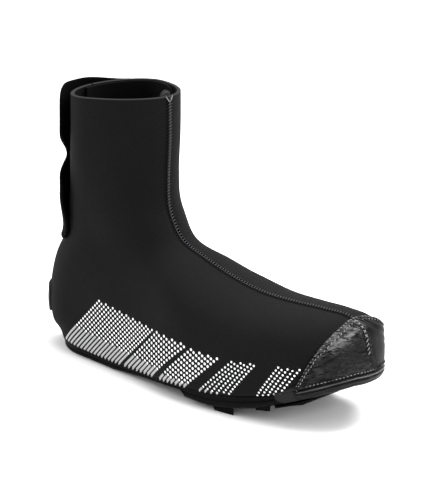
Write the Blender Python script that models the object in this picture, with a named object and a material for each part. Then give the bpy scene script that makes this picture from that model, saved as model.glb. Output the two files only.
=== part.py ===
"""Cycling overshoe for the right foot: a hollow neoprene upper on a thin rubber sole.

Frame: +X to the toe, +Y to the inner side of the foot, +Z up, in metres. The form is one
surface. Its slices run parallel to the sole's edge low down and fade to the level collar.
In each slice the half width swells from the front line and from the back line of the side
view, so side view, plan and back view all come from the tables below.
"""
import math

import bpy
import numpy as np

# Driving sizes
LENGTH = 0.310             # heel back to toe tip
COLLAR_HEIGHT = 0.212      # floor to the middle of the collar
COLLAR_RISE = 0.004        # front of the collar above its back
COLLAR_MIDDLE = 0.255 * LENGTH     # from the heel back
COLLAR_DEPTH = 0.280 * LENGTH      # from its back to its front
INSTEP_HEIGHT = 0.106      # floor to the bend between instep and shaft
TOE_HEIGHT = 0.078         # floor to the top of the toe box
HEEL_WIDTH = 0.068         # sole outline at the heel
BALL_WIDTH = 0.098         # sole outline at the ball
SHAFT_WIDTH = 0.088        # across the collar
TOE_SPRING = 0.034         # sole edge at the toe above sole edge at the heel
TOE_SWING = 0.014          # toe tip towards the inner side
TURN_UNDER = 0.0030        # how far the side swells out over the sole edge
TURN_HEIGHT = 0.020        # height over which it does
SIDE_LEAN = 0.05           # how much narrower the foot is at TOE_HEIGHT above the sole edge
TOE_LEAN = 0.30            # the same at the toe
WALL = 0.003               # neoprene
GAP = 0.0003               # between pieces that touch
FACET_ROOM = 0.0002        # more room where flat facets of two round pieces don't match

HEEL_RUBBER = 0.0065       # sole thickness at the heel
LEAST_RUBBER = 0.0015      # the thinnest the sole gets
BAND_INSET = 0.0006        # sole band inside the upper's edge
BAND_STEP = 0.0010         # depth of the groove and steps in the band
LUG_INSET = 0.005          # lugs inside the upper's edge
LUG_REACH = 0.014          # lug length across the sole
LUG_SKEW = 0.9             # how far back its inner end lies (share of LUG_REACH)
CLEAT_LENGTH = 0.070
CLEAT_WIDTH = 0.036
CLEAT_CENTRE = 0.748 * LENGTH      # from the heel back
LUG_SUNK = 0.0012          # lugs up into the sole

CAP_THICKNESS = 0.0009     # coated fabric over the toe
RAND_HEIGHT = 0.009        # side of the toe rand
RIB_HEIGHT = 0.0008        # ribs along the rand
RAND_START = 0.852 * LENGTH        # from the heel back
SOLE_END = 0.913 * LENGTH          # front end of the rubber under the rand
END_ROUND = 0.020          # length over which that end narrows in plan
END_THIN = 0.010           # length over which it gets thinner
END_LIFT = 0.0035          # how much thinner
SEAM_START = 0.290 * LENGTH        # behind the front of the collar, from the heel back
SEAM_WIDTH = 0.0050
SEAM_THICKNESS = 0.0008

SLIT_WIDTH = 0.0015        # closure slit down the back
SLIT_BOTTOM = 0.082        # its lower end above the floor
FLAP_THICKNESS = 0.0025
FLAP_BOTTOM = 0.090
FLAP_ABOVE = 0.0035        # its top above the back of the collar
FLAP_NOTCH = 0.158         # height of the notch between the two tabs
FLAP_REACH = 0.037         # from the slit round to the free end
FLAP_ROOT = 0.034          # from the slit back to the sewn end
FLAP_STAND_OFF = 0.0055    # free end from the shaft
FLAP_SETTLE = 0.040        # height over which the stand-off grows from the lower end
TAB_CORNER = 0.009
TAB_VALLEY = 0.021         # height of each side of the notch
TAB_DEPTH = 0.020          # depth of the notch
UNDERLAP_THICKNESS = 0.0020
UNDERLAP_BOTTOM = 0.128
UNDERLAP_LENGTH = 0.098    # from the slit forward on the inner side
UNDERLAP_HOLD = 0.010      # sewn behind the outer side of the slit
UNDERLAP_CORNER = 0.020
UNDERLAP_DROP = 0.0008     # its top below the back of the collar
HEEL_PATCH_THICKNESS = 0.0015
HEEL_PATCH_WIDTH = 0.050   # across, in the back view
HEEL_PATCH_BOTTOM = 0.025
HEEL_PATCH_TOP = 0.050
HEEL_PATCH_CORNER = 0.005
SEAM_TAB_WIDTH = 0.011
SEAM_TAB_DROP = 0.011
SEAM_TAB_THICKNESS = 0.0012

AROUND = 44                # facets round a slice
LEVELS = 32                # slices from sole edge to collar

# Sole edge height: along (share of LENGTH), rise (share of TOE_SPRING)
FEATHER = [
    (0.00, 0.03),
    (0.20, 0.00),
    (0.40, 0.07),
    (0.55, 0.18),
    (0.69, 0.25),
    (0.82, 0.47),
    (0.99, 1.00),
]

# Front line of the side view, above the sole edge: along (share of LENGTH), and height,
# where 1 is TOE_HEIGHT, 2 is INSTEP_HEIGHT and 3 is COLLAR_HEIGHT
FRONT_LINE = [
    (0.990, 0.72),
    (0.976, 0.90),
    (0.935, 0.98),
    (0.864, 1.00),
    (0.778, 1.01),
    (0.684, 1.08),
    (0.596, 1.31),
    (0.510, 1.62),
    (0.435, 2.00),
    (0.394, 2.19),
    (0.384, 2.42),
    (0.394, 2.71),
    (0.396, 3.00),
]

# Back line of the side view: along (share of LENGTH), height (share of COLLAR_HEIGHT)
BACK_LINE = [
    (0.024, 0.052),
    (0.000, 0.146),
    (0.002, 0.240),
    (0.022, 0.359),
    (0.059, 0.470),
    (0.082, 0.604),
    (0.097, 0.732),
    (0.110, 0.860),
    (0.117, 1.000),
]
BACK_START = 0.040         # along, where the back line meets the sole edge

# Half widths of the sole edge: along, outer and inner (shares of HEEL_WIDTH)
HEEL_OUTLINE = [
    (0.00, 0.447, 0.500),
    (0.15, 0.457, 0.505),
    (0.28, 0.515, 0.480),
]
# The same forward of the waist (shares of BALL_WIDTH)
BALL_OUTLINE = [
    (0.41, 0.410, 0.360),
    (0.53, 0.490, 0.425),
    (0.66, 0.525, 0.475),
    (0.76, 0.530, 0.465),
    (0.86, 0.505, 0.430),
    (0.98, 0.440, 0.405),
]

# Half width of heel and shaft: height (share of COLLAR_HEIGHT), width (share of SHAFT_WIDTH)
SHAFT_SIDES = [
    (0.00, 0.410),
    (0.14, 0.407),
    (0.28, 0.372),
    (0.45, 0.352),
    (0.61, 0.392),
    (0.78, 0.460),
    (1.00, 0.499),
]

# How the section rounds over behind the front line: place on that line from toe to collar,
# depth of the rounding (share of LENGTH), power on the outer and on the inner side (2 is an
# ellipse, more has squarer shoulders)
CROWN = [
    (0.00, 0.168, 2.0, 2.0),
    (0.10, 0.162, 3.5, 4.8),
    (0.35, 0.162, 4.0, 4.8),
    (0.60, 0.148, 4.1, 4.4),
    (0.80, 0.213, 2.2, 2.2),
    (1.00, 0.252, 2.0, 2.0),
]
HEEL_ROUND = 0.123         # depth of the rounding before the back line (share of LENGTH)

# Underside of the sole between the lugs: along (share of LENGTH), height above the floor
# (share of HEEL_RUBBER)
UNDERSIDE = [
    (0.000, 0.45),
    (0.045, 0.00),
    (0.290, 0.00),
    (0.370, 0.35),
    (0.440, 0.70),
    (0.500, 1.05),
    (0.571, 1.30),
    (0.585, 0.62),
    (0.630, 0.50),
    (0.664, 0.50),
    (0.729, 0.94),
    (0.787, 1.52),
    (0.832, 2.25),
    (0.850, 2.55),
    (0.905, 2.60),
]

# Lugs, one row for each pair: rear and front end (shares of LENGTH), slope of the rear
# face (share of its depth), lowest height at the rear and at the front (shares of
# HEEL_RUBBER)
LUGS = [
    (0.664, 0.728, 1.0, 0.00, 0.00),
    (0.787, 0.829, 0.9, 1.25, 1.50),
]

# Side of the sole from top to bottom: depth (share of the thickness), further inset
# (share of BAND_STEP)
BAND_PROFILE = [
    (0.00, 0.6),
    (0.10, 0.0),
    (0.36, 0.0),
    (0.42, 0.9),
    (0.50, 0.9),
    (0.56, 0.2),
    (0.82, 0.6),
    (1.00, 2.6),
]
# Side of the toe rand: two ribs under the toe cap, then a round lower edge: depth (share of
# RAND_HEIGHT), inset (share of RIB_HEIGHT)
RAND_PROFILE = [
    (0.00, 0.5),
    (0.08, -0.5),
    (0.20, -0.5),
    (0.27, 0.4),
    (0.35, 0.4),
    (0.42, -0.5),
    (0.52, -0.4),
    (0.60, 0.4),
    (0.82, 1.2),
    (1.00, 4.2),
]

# Rear edge of the toe cap in the side view: along (share of LENGTH), height (share of
# TOE_HEIGHT)
CAP_EDGE = [
    (0.936, 1.08),
    (0.942, 0.98),
    (0.951, 0.91),
    (0.951, 0.83),
    (0.943, 0.75),
    (0.931, 0.65),
    (0.915, 0.53),
    (0.900, 0.42),
    (0.888, 0.28),
]

COLOURS = {                # linear red, green, blue, then roughness
    "neoprene": (0.012, 0.012, 0.012, 0.80),
    "underlap": (0.009, 0.009, 0.009, 0.85),
    "flap": (0.006, 0.006, 0.006, 0.75),
    "coated": (0.010, 0.010, 0.010, 0.22),
    "rubber": (0.010, 0.010, 0.010, 0.60),
    "rand": (0.018, 0.018, 0.018, 0.35),
    "seam": (0.020, 0.020, 0.020, 0.70),
    "heel": (0.006, 0.006, 0.006, 0.50),
}


def read(table, column, x):
    """Smooth curve through a table: cubic pieces that share their slopes."""
    rows = np.array(table, float)
    knots, values = rows[:, 0], rows[:, column]
    x = np.clip(x, knots[0], knots[-1])
    step = np.diff(knots)
    slope = np.diff(values) / step
    inner = (slope[:-1] * step[1:] + slope[1:] * step[:-1]) / (knots[2:] - knots[:-2])
    tangent = np.concatenate([slope[:1], inner, slope[-1:]])
    i = np.clip(np.searchsorted(knots, x, side="right") - 1, 0, len(step) - 1)
    t = (x - knots[i]) / step[i]
    start = values[i] * (2 * t**3 - 3 * t**2 + 1) + tangent[i] * step[i] * (t**3 - 2 * t**2 + t)
    end = values[i + 1] * (3 * t**2 - 2 * t**3) + tangent[i + 1] * step[i] * (t**3 - t**2)
    return start + end


def smooth(t):
    """0 to 1 with level ends."""
    t = np.clip(t, 0.0, 1.0)
    return t * t * (3.0 - 2.0 * t)


def lengths(path):
    """Length along a path at each of its points."""
    return np.concatenate([[0.0], np.cumsum(np.linalg.norm(np.diff(path, axis=0), axis=1))])


def spread(points, measure, count):
    """Points read from a path at even steps of a measure that grows along it."""
    even = np.linspace(0.0, measure[-1], count + 1)
    return np.column_stack([np.interp(even, measure, points[:, i]) for i in range(points.shape[1])])


def smooth_path(points, count):
    """A smooth curve through points of the side view, read at even lengths."""
    points = np.array(points, float)
    table = np.column_stack([lengths(points), points])
    fine = np.linspace(0.0, table[-1, 0], 40 * len(points))
    curve = np.column_stack([read(table, 1, fine), read(table, 2, fine)])
    return spread(curve, lengths(curve), count - 1)


def nearest(x, z, line):
    """Distance of points of the side view from a line, and the share of its length there."""
    point = np.stack([x, z], axis=-1)[..., None, :]
    start = line[:-1]
    run = line[1:] - start
    t = np.clip(((point - start) * run).sum(-1) / (run**2).sum(-1), 0.0, 1.0)
    away = np.linalg.norm(point - start - t[..., None] * run, axis=-1)
    best = away.argmin(-1)[..., None]
    share = (best + np.take_along_axis(t, best, -1)) / len(start)
    return np.take_along_axis(away, best, -1)[..., 0], share[..., 0]


def feather(x):
    """Height of the sole edge above the floor."""
    return HEEL_RUBBER + TOE_SPRING * read(FEATHER, 1, x / LENGTH)


def slice_height(level, x):
    """Height of a slice: parallel to the sole edge low down, tilted with the collar on top."""
    follow = 1.0 - smooth(level / COLLAR_HEIGHT)
    tilt = COLLAR_RISE / COLLAR_DEPTH * smooth(level / COLLAR_HEIGHT)
    return level + feather(x) * follow + tilt * (x - COLLAR_MIDDLE)


def slice_level(x, z):
    """Which slice passes through points of the side view, by halving."""
    low = np.zeros_like(x)
    high = np.full_like(x, COLLAR_HEIGHT)
    for _ in range(40):
        middle = (low + high) / 2
        above = slice_height(middle, x) > z
        high = np.where(above, middle, high)
        low = np.where(above, low, middle)
    return (low + high) / 2


def profile_lines():
    """Front and back line of the side view, each from the sole edge up to the collar."""
    heights = [0.0, TOE_HEIGHT, INSTEP_HEIGHT, COLLAR_HEIGHT]
    front = [(LENGTH, float(feather(LENGTH)))]
    for along, height in FRONT_LINE:
        front.append((along * LENGTH, float(np.interp(height, range(4), heights))))
    back = [(BACK_START * LENGTH, float(feather(BACK_START * LENGTH)))]
    back += [(along * LENGTH, height * COLLAR_HEIGHT) for along, height in BACK_LINE]
    for line in (front, back):
        x = line[-1][0]
        line[-1] = (x, float(slice_height(COLLAR_HEIGHT, x)))
    return smooth_path(front, 160), smooth_path(back, 100)


FRONT, BACK = profile_lines()


def centre(x):
    """The middle of the foot in plan, which swings to the inner side at the toe."""
    return TOE_SWING * smooth((x / LENGTH - 0.50) / 0.55)


def half_widths(level, x, z):
    """Outer and inner half width of the form."""
    to_front, place = nearest(x, z, FRONT)
    to_back, _ = nearest(x, z, BACK)
    under_crown = 1.0 - np.clip(to_front / (LENGTH * read(CROWN, 1, place)), 0.0, 1.0)
    behind = 1.0 - (1.0 - np.clip(to_back / (HEEL_ROUND * LENGTH), 0.0, 1.0))**2
    turn = TURN_UNDER * np.sqrt(1.0 - (1.0 - np.clip(level / TURN_HEIGHT, 0.0, 1.0))**2)
    turn *= 1.0 - smooth((x / LENGTH - 0.72) / 0.22)
    lean = SIDE_LEAN + (TOE_LEAN - SIDE_LEAN) * smooth((x / LENGTH - 0.84) / 0.14)
    lean = 1.0 - lean * np.clip(level / TOE_HEIGHT, 0.0, 1.0)
    shaft = smooth((z / COLLAR_HEIGHT - 0.19) / 0.28) * (1.0 - smooth((x / LENGTH - 0.31) / 0.26))
    legs = SHAFT_WIDTH * read(SHAFT_SIDES, 1, z / COLLAR_HEIGHT)
    sides = []
    for column in (1, 2):
        outline = [(row[0], row[column] * HEEL_WIDTH) for row in HEEL_OUTLINE]
        outline += [(row[0], row[column] * BALL_WIDTH) for row in BALL_OUTLINE]
        foot = read(outline, 1, x / LENGTH) * lean + turn
        over = 1.0 - under_crown**read(CROWN, column + 1, place)
        sides.append(np.sqrt(over * behind) * (foot * (1.0 - shaft) + legs * shaft))
    return sides


def half_slice(level, nose, back, side):
    """One side of a slice at even lengths, from the front line to the back line."""
    t = np.linspace(0.0, 1.0, 500)
    share = (1.0 - np.cos(math.pi * t)) / 2
    share = np.where(t < 0.5, 2 * share**2, 1 - 2 * (1 - share)**2)
    x = nose + (back - nose) * share
    z = slice_height(level, x)
    widths = half_widths(level, x, z)
    widths[side][[0, -1]] = 0.0
    y = centre(x) + (-widths[0], widths[1])[side]
    points = np.column_stack([x, y, z])
    return spread(points, lengths(points), 160)


def column_shares(points):
    """Shares of a half slice's length for its columns, closer where the slice turns."""
    step = np.diff(points, axis=0)
    heading = np.unwrap(np.arctan2(step[:, 1], step[:, 0]))
    window = np.hanning(25)
    turning = np.convolve(np.abs(np.diff(heading)), window / window.sum(), mode="same")
    turned = np.concatenate([[0.0], np.cumsum(turning), [turning.sum()]])
    measure = lengths(points) + 0.17 * LENGTH * turned
    even = np.linspace(0.0, measure[-1], AROUND // 2 + 1)
    return np.interp(even, measure, np.linspace(0.0, 1.0, len(points)))


def form_grid():
    """Points of the outer form, one row for each slice, and their outward directions.

    A row starts on the front line, runs back along the outer side and forward along the
    inner side. The columns' shares are evened out from row to row.
    """
    front_level = np.maximum.accumulate(slice_level(FRONT[:, 0], FRONT[:, 1]))
    back_level = np.maximum.accumulate(slice_level(BACK[:, 0], BACK[:, 1]))
    levels = np.linspace(0.0, COLLAR_HEIGHT, 400)
    nose = np.column_stack([np.interp(levels, front_level, FRONT[:, i]) for i in range(2)])
    heel = np.column_stack([np.interp(levels, back_level, BACK[:, i]) for i in range(2)])
    measure = lengths(nose) + lengths(heel)
    chosen = np.interp(np.linspace(0.0, measure[-1], LEVELS), measure, levels)
    front_x = np.interp(chosen, levels, nose[:, 0])
    back_x = np.interp(chosen, levels, heel[:, 0])
    halves = []
    for side in (0, 1):
        slices = [half_slice(*row, side) for row in zip(chosen, front_x, back_x)]
        shares = np.array([column_shares(points) for points in slices])
        for _ in range(12):
            shares[1:-1] = (shares[:-2] + 2 * shares[1:-1] + shares[2:]) / 4
        even = np.linspace(0.0, 1.0, len(slices[0]))
        rows = [[np.interp(share, even, points[:, i]) for i in range(3)]
                for share, points in zip(shares, slices)]
        halves.append(np.transpose(rows, (0, 2, 1)))
    points = np.concatenate([halves[0], halves[1][:, -2:0:-1]], axis=1)
    round_it = np.roll(points, -1, axis=1) - np.roll(points, 1, axis=1)
    up = np.gradient(points, axis=0)
    outward = np.cross(up, round_it)
    outward[[0, -1], :, 2] = 0.0
    outward /= np.linalg.norm(outward, axis=-1, keepdims=True)
    return points, outward


FORM, OUTWARD = form_grid()


def material(name):
    """A plain surface for one kind of piece."""
    found = bpy.data.materials.get(name)
    if found:
        return found
    made = bpy.data.materials.new(name)
    made.use_nodes = True
    *colour, roughness = COLOURS[name]
    surface = made.node_tree.nodes["Principled BSDF"]
    surface.inputs["Base Color"].default_value = (*colour, 1.0)
    surface.inputs["Roughness"].default_value = roughness
    surface.inputs["Metallic"].default_value = 0.0
    return made


def piece(name, points, faces, finish):
    """An object from points and faces, with its faces turned outward."""
    mesh = bpy.data.meshes.new(name)
    mesh.from_pydata([tuple(point) for point in points], [], faces)
    made = bpy.data.objects.new(name, mesh)
    bpy.context.collection.objects.link(made)
    mesh.materials.append(material(finish))
    corners = np.asarray(points)
    volume = 0.0
    for face in faces:
        first = corners[face[0]]
        for i in range(1, len(face) - 1):
            volume += np.dot(first, np.cross(corners[face[i]], corners[face[i + 1]]))
    if volume < 0.0:
        mesh.flip_normals()
    mesh.shade_smooth()
    mesh.set_sharp_from_angle(angle=math.radians(40))
    return made


def layers(name, near, far, finish, ring=False):
    """A closed sheet between two grids of points; a ring joins its last column to its first.

    Both skins are split into triangles along the same diagonals, so they stay parallel.
    """
    rows, columns = near.shape[:2]
    points = np.concatenate([near.reshape(-1, 3), far.reshape(-1, 3)])
    second = rows * columns
    faces = []

    def edge_strip(a, b):
        faces.append((a, b, second + b))
        faces.append((a, second + b, second + a))

    spans = columns if ring else columns - 1
    for i in range(rows - 1):
        for j in range(spans):
            a, b = i * columns + j, i * columns + (j + 1) % columns
            c, d = b + columns, a + columns
            faces += [(a, b, c), (a, c, d)]
            faces += [(second + a, second + c, second + b), (second + a, second + d, second + c)]
    for j in range(spans):
        after = (j + 1) % columns
        edge_strip(after, j)
        edge_strip((rows - 1) * columns + j, (rows - 1) * columns + after)
    if not ring:
        for i in range(rows - 1):
            edge_strip(i * columns, (i + 1) * columns)
            edge_strip((i + 2) * columns - 1, (i + 1) * columns - 1)
    return piece(name, points, faces, finish)


def column(name, rings, finish):
    """A closed solid through rings of points, top to bottom, with its ends closed.

    A ring lists one side from end to end and then the other side back, so each end is
    closed by strips across.
    """
    rings = np.array(rings)
    rows, around = rings.shape[:2]
    faces = []
    for i in range(rows - 1):
        for j in range(around):
            a, b = i * around + j, i * around + (j + 1) % around
            faces.append((a, b, b + around, a + around))
    last = (rows - 1) * around
    for j in range(around // 2 - 1):
        k = around - 1 - j
        faces.append((j + 1, j, k, k - 1))
        faces.append((last + j, last + j + 1, last + k - 1, last + k))
    return piece(name, rings.reshape(-1, 3), faces, finish)


def prism(name, foot, roof, finish):
    """A closed solid between two matching outlines."""
    count = len(foot)
    faces = [tuple(range(count)), tuple(range(2 * count - 1, count - 1, -1))]
    faces += [((i + 1) % count, i, count + i, count + (i + 1) % count) for i in range(count)]
    return piece(name, [*foot, *roof], faces, finish)


def hide(tool):
    """A cutter stays out of the model."""
    tool.hide_render = True
    tool.display_type = "WIRE"
    return tool


def cutter(name, outline, axis, low, high):
    """A hidden prism: an outline drawn across the named axis, from low to high along it."""
    ends = [[], []]
    for end, height in zip(ends, (low, high)):
        for first, second in outline:
            corner = [first, second]
            corner.insert("XYZ".index(axis), height)
            end.append(corner)
    return hide(prism(name, *ends, "rubber"))


def cut(target, tool, operation):
    """An exact Boolean that stays live on its target."""
    modifier = target.modifiers.new(tool.name, "BOOLEAN")
    modifier.operation = operation
    modifier.solver = "EXACT"
    modifier.object = tool


def band_on_form(name, out, thickness, finish):
    """A skin all round the form, a distance out from it."""
    return layers(name, FORM + OUTWARD * out, FORM + OUTWARD * (out + thickness), finish, ring=True)


def on_form(along_back, height, out):
    """Points on the form at a distance round from the back line and a height.

    The distance is positive towards the outer side, and out is the distance off the form.
    """
    half = AROUND // 2
    closed = np.concatenate([FORM, FORM[:, :1]], axis=1)
    normals = np.concatenate([OUTWARD, OUTWARD[:, :1]], axis=1)
    heights = closed[:, half, 2]
    row = np.interp(height, heights, np.arange(LEVELS))
    low = np.clip(row.astype(int), 0, LEVELS - 2)
    rise = (row - low)[..., None, None]
    ring = closed[low] * (1 - rise) + closed[low + 1] * rise
    way = normals[low] * (1 - rise) + normals[low + 1] * rise
    steps = np.linalg.norm(np.diff(ring, axis=-2), axis=-1)
    run = np.concatenate([np.zeros(steps.shape[:-1] + (1,)), np.cumsum(steps, axis=-1)], axis=-1)
    run -= run[..., half:half + 1]
    made = np.empty(along_back.shape + (3,))
    for place in np.ndindex(along_back.shape):
        at = -along_back[place]
        point = [np.interp(at, run[place], ring[place][:, i]) for i in range(3)]
        normal = np.array([np.interp(at, run[place], way[place][:, i]) for i in range(3)])
        made[place] = point + out[place] * normal / np.linalg.norm(normal)
    made[..., 2] += np.maximum(height - heights[-1], 0.0)
    return made


def make_upper():
    """The neoprene wall: open at the collar, at the sole and down the closure slit."""
    upper = band_on_form("upper", -WALL, WALL, "neoprene")
    top = COLLAR_HEIGHT + 2 * COLLAR_RISE
    behind, inside = -0.1 * LENGTH, 0.2 * LENGTH
    sides = [(behind, -SLIT_WIDTH / 2), (inside, -SLIT_WIDTH / 2)]
    sides += [(inside, SLIT_WIDTH / 2), (behind, SLIT_WIDTH / 2)]
    cut(upper, cutter("slit_cutter", sides, "Z", SLIT_BOTTOM, top), "DIFFERENCE")


def make_toe_cap():
    """Coated fabric over the toe, cut off along its slanting rear edge."""
    cap = band_on_form("toe_cap", GAP, CAP_THICKNESS, "coated")
    edge = [(along * LENGTH, height * TOE_HEIGHT) for along, height in CAP_EDGE]
    outline = [(1.1 * LENGTH, edge[0][1])]
    outline += [(x, z) for x, z in smooth_path(edge, 16) if z > feather(x) + GAP]
    hem = np.linspace(edge[-1][0], 1.1 * LENGTH, 12)
    outline += [(x, float(feather(x)) + GAP) for x in hem]
    cut(cap, cutter("cap_cutter", outline, "Y", -BALL_WIDTH, BALL_WIDTH), "INTERSECT")


def make_front_seam():
    """The raised seam down the shaft and along the middle of the instep to the toe cap."""
    seam = band_on_form("front_seam", GAP, SEAM_THICKNESS, "seam")
    run = np.linspace(SEAM_START, CAP_EDGE[1][0] * LENGTH - SEAM_WIDTH / 2, 24)
    outer = [(x, float(centre(x)) - SEAM_WIDTH / 2) for x in run]
    inner = [(x, float(centre(x)) + SEAM_WIDTH / 2) for x in run[::-1]]
    strip = cutter("seam_cutter", outer + inner, "Z", 0.8 * TOE_HEIGHT, COLLAR_HEIGHT * 1.1)
    cut(seam, strip, "INTERSECT")


def sole_sides(stations, out):
    """Outer and inner edge of the sole at stations along it, moved out from the form."""
    level = np.zeros_like(stations)
    widths = half_widths(level, stations, feather(stations))
    sides = []
    for side, sign in ((0, -1.0), (1, 1.0)):
        edge = np.column_stack([stations, centre(stations) + sign * widths[side]])
        run = np.gradient(edge, axis=0)
        run /= np.linalg.norm(run, axis=1, keepdims=True)
        away = sign * np.column_stack([-run[:, 1], run[:, 0]])
        share = stations / LENGTH
        away[:, 0] *= 1.0 - smooth((share - 0.10) / 0.08) + smooth((share - 0.88) / 0.05)
        sides.append(edge + out * away)
    return sides


def sole_rings(stations, top, bottom, profile, step, out, round_end=None):
    """Rings down the side of a sole piece, from its side profile in steps of that depth."""
    rings = []
    for depth, inset in profile:
        outer, inner = sole_sides(stations, out - inset * step)
        height = top + (bottom - top) * depth
        if round_end is not None:
            middle = (outer[:, 1] + inner[:, 1]) / 2
            outer[:, 1] = middle + (outer[:, 1] - middle) * round_end
            inner[:, 1] = middle + (inner[:, 1] - middle) * round_end
        ring = [np.column_stack([outer, height]), np.column_stack([inner, height])[::-1]]
        rings.append(np.concatenate(ring))
    return rings


def underside(x):
    """Height of the sole's underside between the lugs."""
    rows = np.array(UNDERSIDE)
    return HEEL_RUBBER * np.interp(x / LENGTH, rows[:, 0], rows[:, 1])


def make_outsole():
    """Rubber sole: a band with a groove, an arch, the forefoot tread, lugs and the cleat hole."""
    heel = BACK_START * LENGTH + BAND_INSET
    turn = heel + 0.10 * LENGTH * np.linspace(0.0, 1.0, 9)[:-1]**2
    steps = [row[0] * LENGTH for row in UNDERSIDE if row[0] > 0.25]
    steps += [RAND_START - GAP, RAND_START - 2 * GAP]
    even = np.linspace(0.15 * LENGTH, SOLE_END - END_THIN, 22)
    end = SOLE_END - 0.8 * END_THIN * np.linspace(1.0, 0.0, 7)[1:]**2
    stations = np.unique(np.round(np.concatenate([turn, steps, even, end]), 6))
    stations = stations[np.concatenate([[True], np.diff(stations) > GAP / 2])]
    stations = stations[stations <= SOLE_END]
    top = feather(stations) - GAP
    top = np.where(stations > RAND_START - 1.5 * GAP, top - RAND_HEIGHT - GAP, top)
    lift = END_LIFT * smooth((stations - SOLE_END + END_THIN) / END_THIN)
    bottom = np.minimum(underside(stations) + lift, top - LEAST_RUBBER)
    near_end = np.clip((stations - SOLE_END + END_ROUND) / END_ROUND, 0.0, 1.0)
    round_end = np.sqrt(1.0 - 0.8 * near_end**2.5)
    rings = sole_rings(stations, top, bottom, BAND_PROFILE, BAND_STEP, -BAND_INSET, round_end)
    sole = column("outsole", rings, "rubber")
    for number, (rear, front, slope, *low) in enumerate(LUGS):
        ends = np.array([rear, front]) * LENGTH
        for side, sign in ((0, 1.0), (1, -1.0)):
            edge = sole_sides(np.linspace(*ends, 3), -LUG_INSET)[side]
            inboard = edge + np.array([-LUG_SKEW, sign]) * LUG_REACH
            low_points = np.array(low) * HEEL_RUBBER
            cut(sole, lug(f"lug_{number}_{side}", edge, inboard, slope, low_points), "UNION")
    radius = CLEAT_WIDTH / 2
    reach = CLEAT_LENGTH / 2 - radius
    middle = float(centre(CLEAT_CENTRE))
    slot = []
    for angle in np.linspace(-math.pi / 2, 3 * math.pi / 2, 24, endpoint=False):
        push = reach if math.cos(angle) >= 0.0 else -reach
        along = CLEAT_CENTRE + push + radius * math.cos(angle)
        slot.append((along, middle + radius * math.sin(angle)))
    cut(sole, cutter("cleat_cutter", slot, "Z", -TOE_SPRING, 2 * TOE_SPRING), "DIFFERENCE")


def lug(name, edge, inboard, slope, low):
    """A block from its lowest heights up into the sole, with a sloping rear face."""
    low = np.linspace(*low, len(edge))
    low = np.concatenate([low, low[::-1]])
    outline = np.concatenate([edge, inboard[::-1]])
    under = underside(outline[:, 0])
    roof = np.column_stack([outline, under + LUG_SUNK])
    foot = np.column_stack([outline, low])
    foot[[0, -1], 0] += slope * (under - low)[[0, -1]]
    return hide(prism(name, foot, roof, "rubber"))


def make_toe_rand():
    """Coated strip round the toe under the cap, closed underneath."""
    nose = LENGTH - FACET_ROOM
    turn = nose - np.linspace(0.0, 1.0, 18)**1.7 * (nose - RAND_START - GAP)
    stations = np.sort(turn)
    top = feather(stations) - GAP
    bottom = feather(stations) - GAP - RAND_HEIGHT
    outward = GAP + CAP_THICKNESS
    rings = sole_rings(stations, top, bottom, RAND_PROFILE, RIB_HEIGHT, outward)
    column("toe_rand", rings, "rand")


def flap_reach(height, low, high):
    """How far the flap reaches at a height: round corners at its ends, a notch between tabs."""
    inside = np.clip(np.minimum(height - low, high - height) / TAB_CORNER, 0.0, 1.0)
    corner = TAB_CORNER * (1.0 - np.sqrt(1.0 - (1.0 - inside)**2))
    notch = TAB_DEPTH * (1.0 - smooth(np.abs(height - FLAP_NOTCH) / TAB_VALLEY))
    return FLAP_REACH - corner - notch


def make_closure_flap():
    """The outer flap: sewn on the inner side, round the back, its two tabs standing off."""
    high = float(BACK[-1, 1]) + FLAP_ABOVE
    ease = (1.0 - np.cos(math.pi * np.linspace(0.0, 1.0, 11))) / 2
    heights = np.concatenate([FLAP_BOTTOM + (FLAP_NOTCH - FLAP_BOTTOM) * ease,
                              FLAP_NOTCH + (high - FLAP_NOTCH) * ease[1:]])
    share = np.linspace(0.0, 1.0, 13)
    around = -FLAP_ROOT + (flap_reach(heights, FLAP_BOTTOM, high)[:, None] + FLAP_ROOT) * share
    height = np.repeat(heights[:, None], len(share), axis=1)
    swing = smooth((around + 0.4 * FLAP_ROOT) / (0.4 * FLAP_ROOT + FLAP_REACH))
    settle = smooth((height - FLAP_BOTTOM) / FLAP_SETTLE)
    off = GAP + FACET_ROOM + FLAP_STAND_OFF * swing * settle
    near = on_form(around, height, off)
    far = on_form(around, height, off + FLAP_THICKNESS)
    layers("closure_flap", near, far, "flap")


def make_underlap():
    """The inner layer behind the slit, with a round corner at its free end."""
    top = float(BACK[-1, 1]) - UNDERLAP_DROP
    ease = (1.0 - np.cos(math.pi * np.linspace(0.0, 1.0, 9))) / 2
    heights = UNDERLAP_BOTTOM + (top - UNDERLAP_BOTTOM) * ease
    from_ends = np.minimum(heights - UNDERLAP_BOTTOM, top - heights)
    inside = np.clip(from_ends / UNDERLAP_CORNER, 0.0, 1.0)
    reach = UNDERLAP_LENGTH - UNDERLAP_CORNER * (1.0 - np.sqrt(1.0 - (1.0 - inside)**2))
    share = np.linspace(0.0, 1.0, 17)
    around = UNDERLAP_HOLD - (reach[:, None] + UNDERLAP_HOLD) * share
    height = np.repeat(heights[:, None], len(share), axis=1)
    inward = np.full_like(around, -WALL - GAP)
    near = on_form(around, height, inward)
    far = on_form(around, height, inward - UNDERLAP_THICKNESS)
    layers("underlap", near, far, "underlap")


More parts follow.
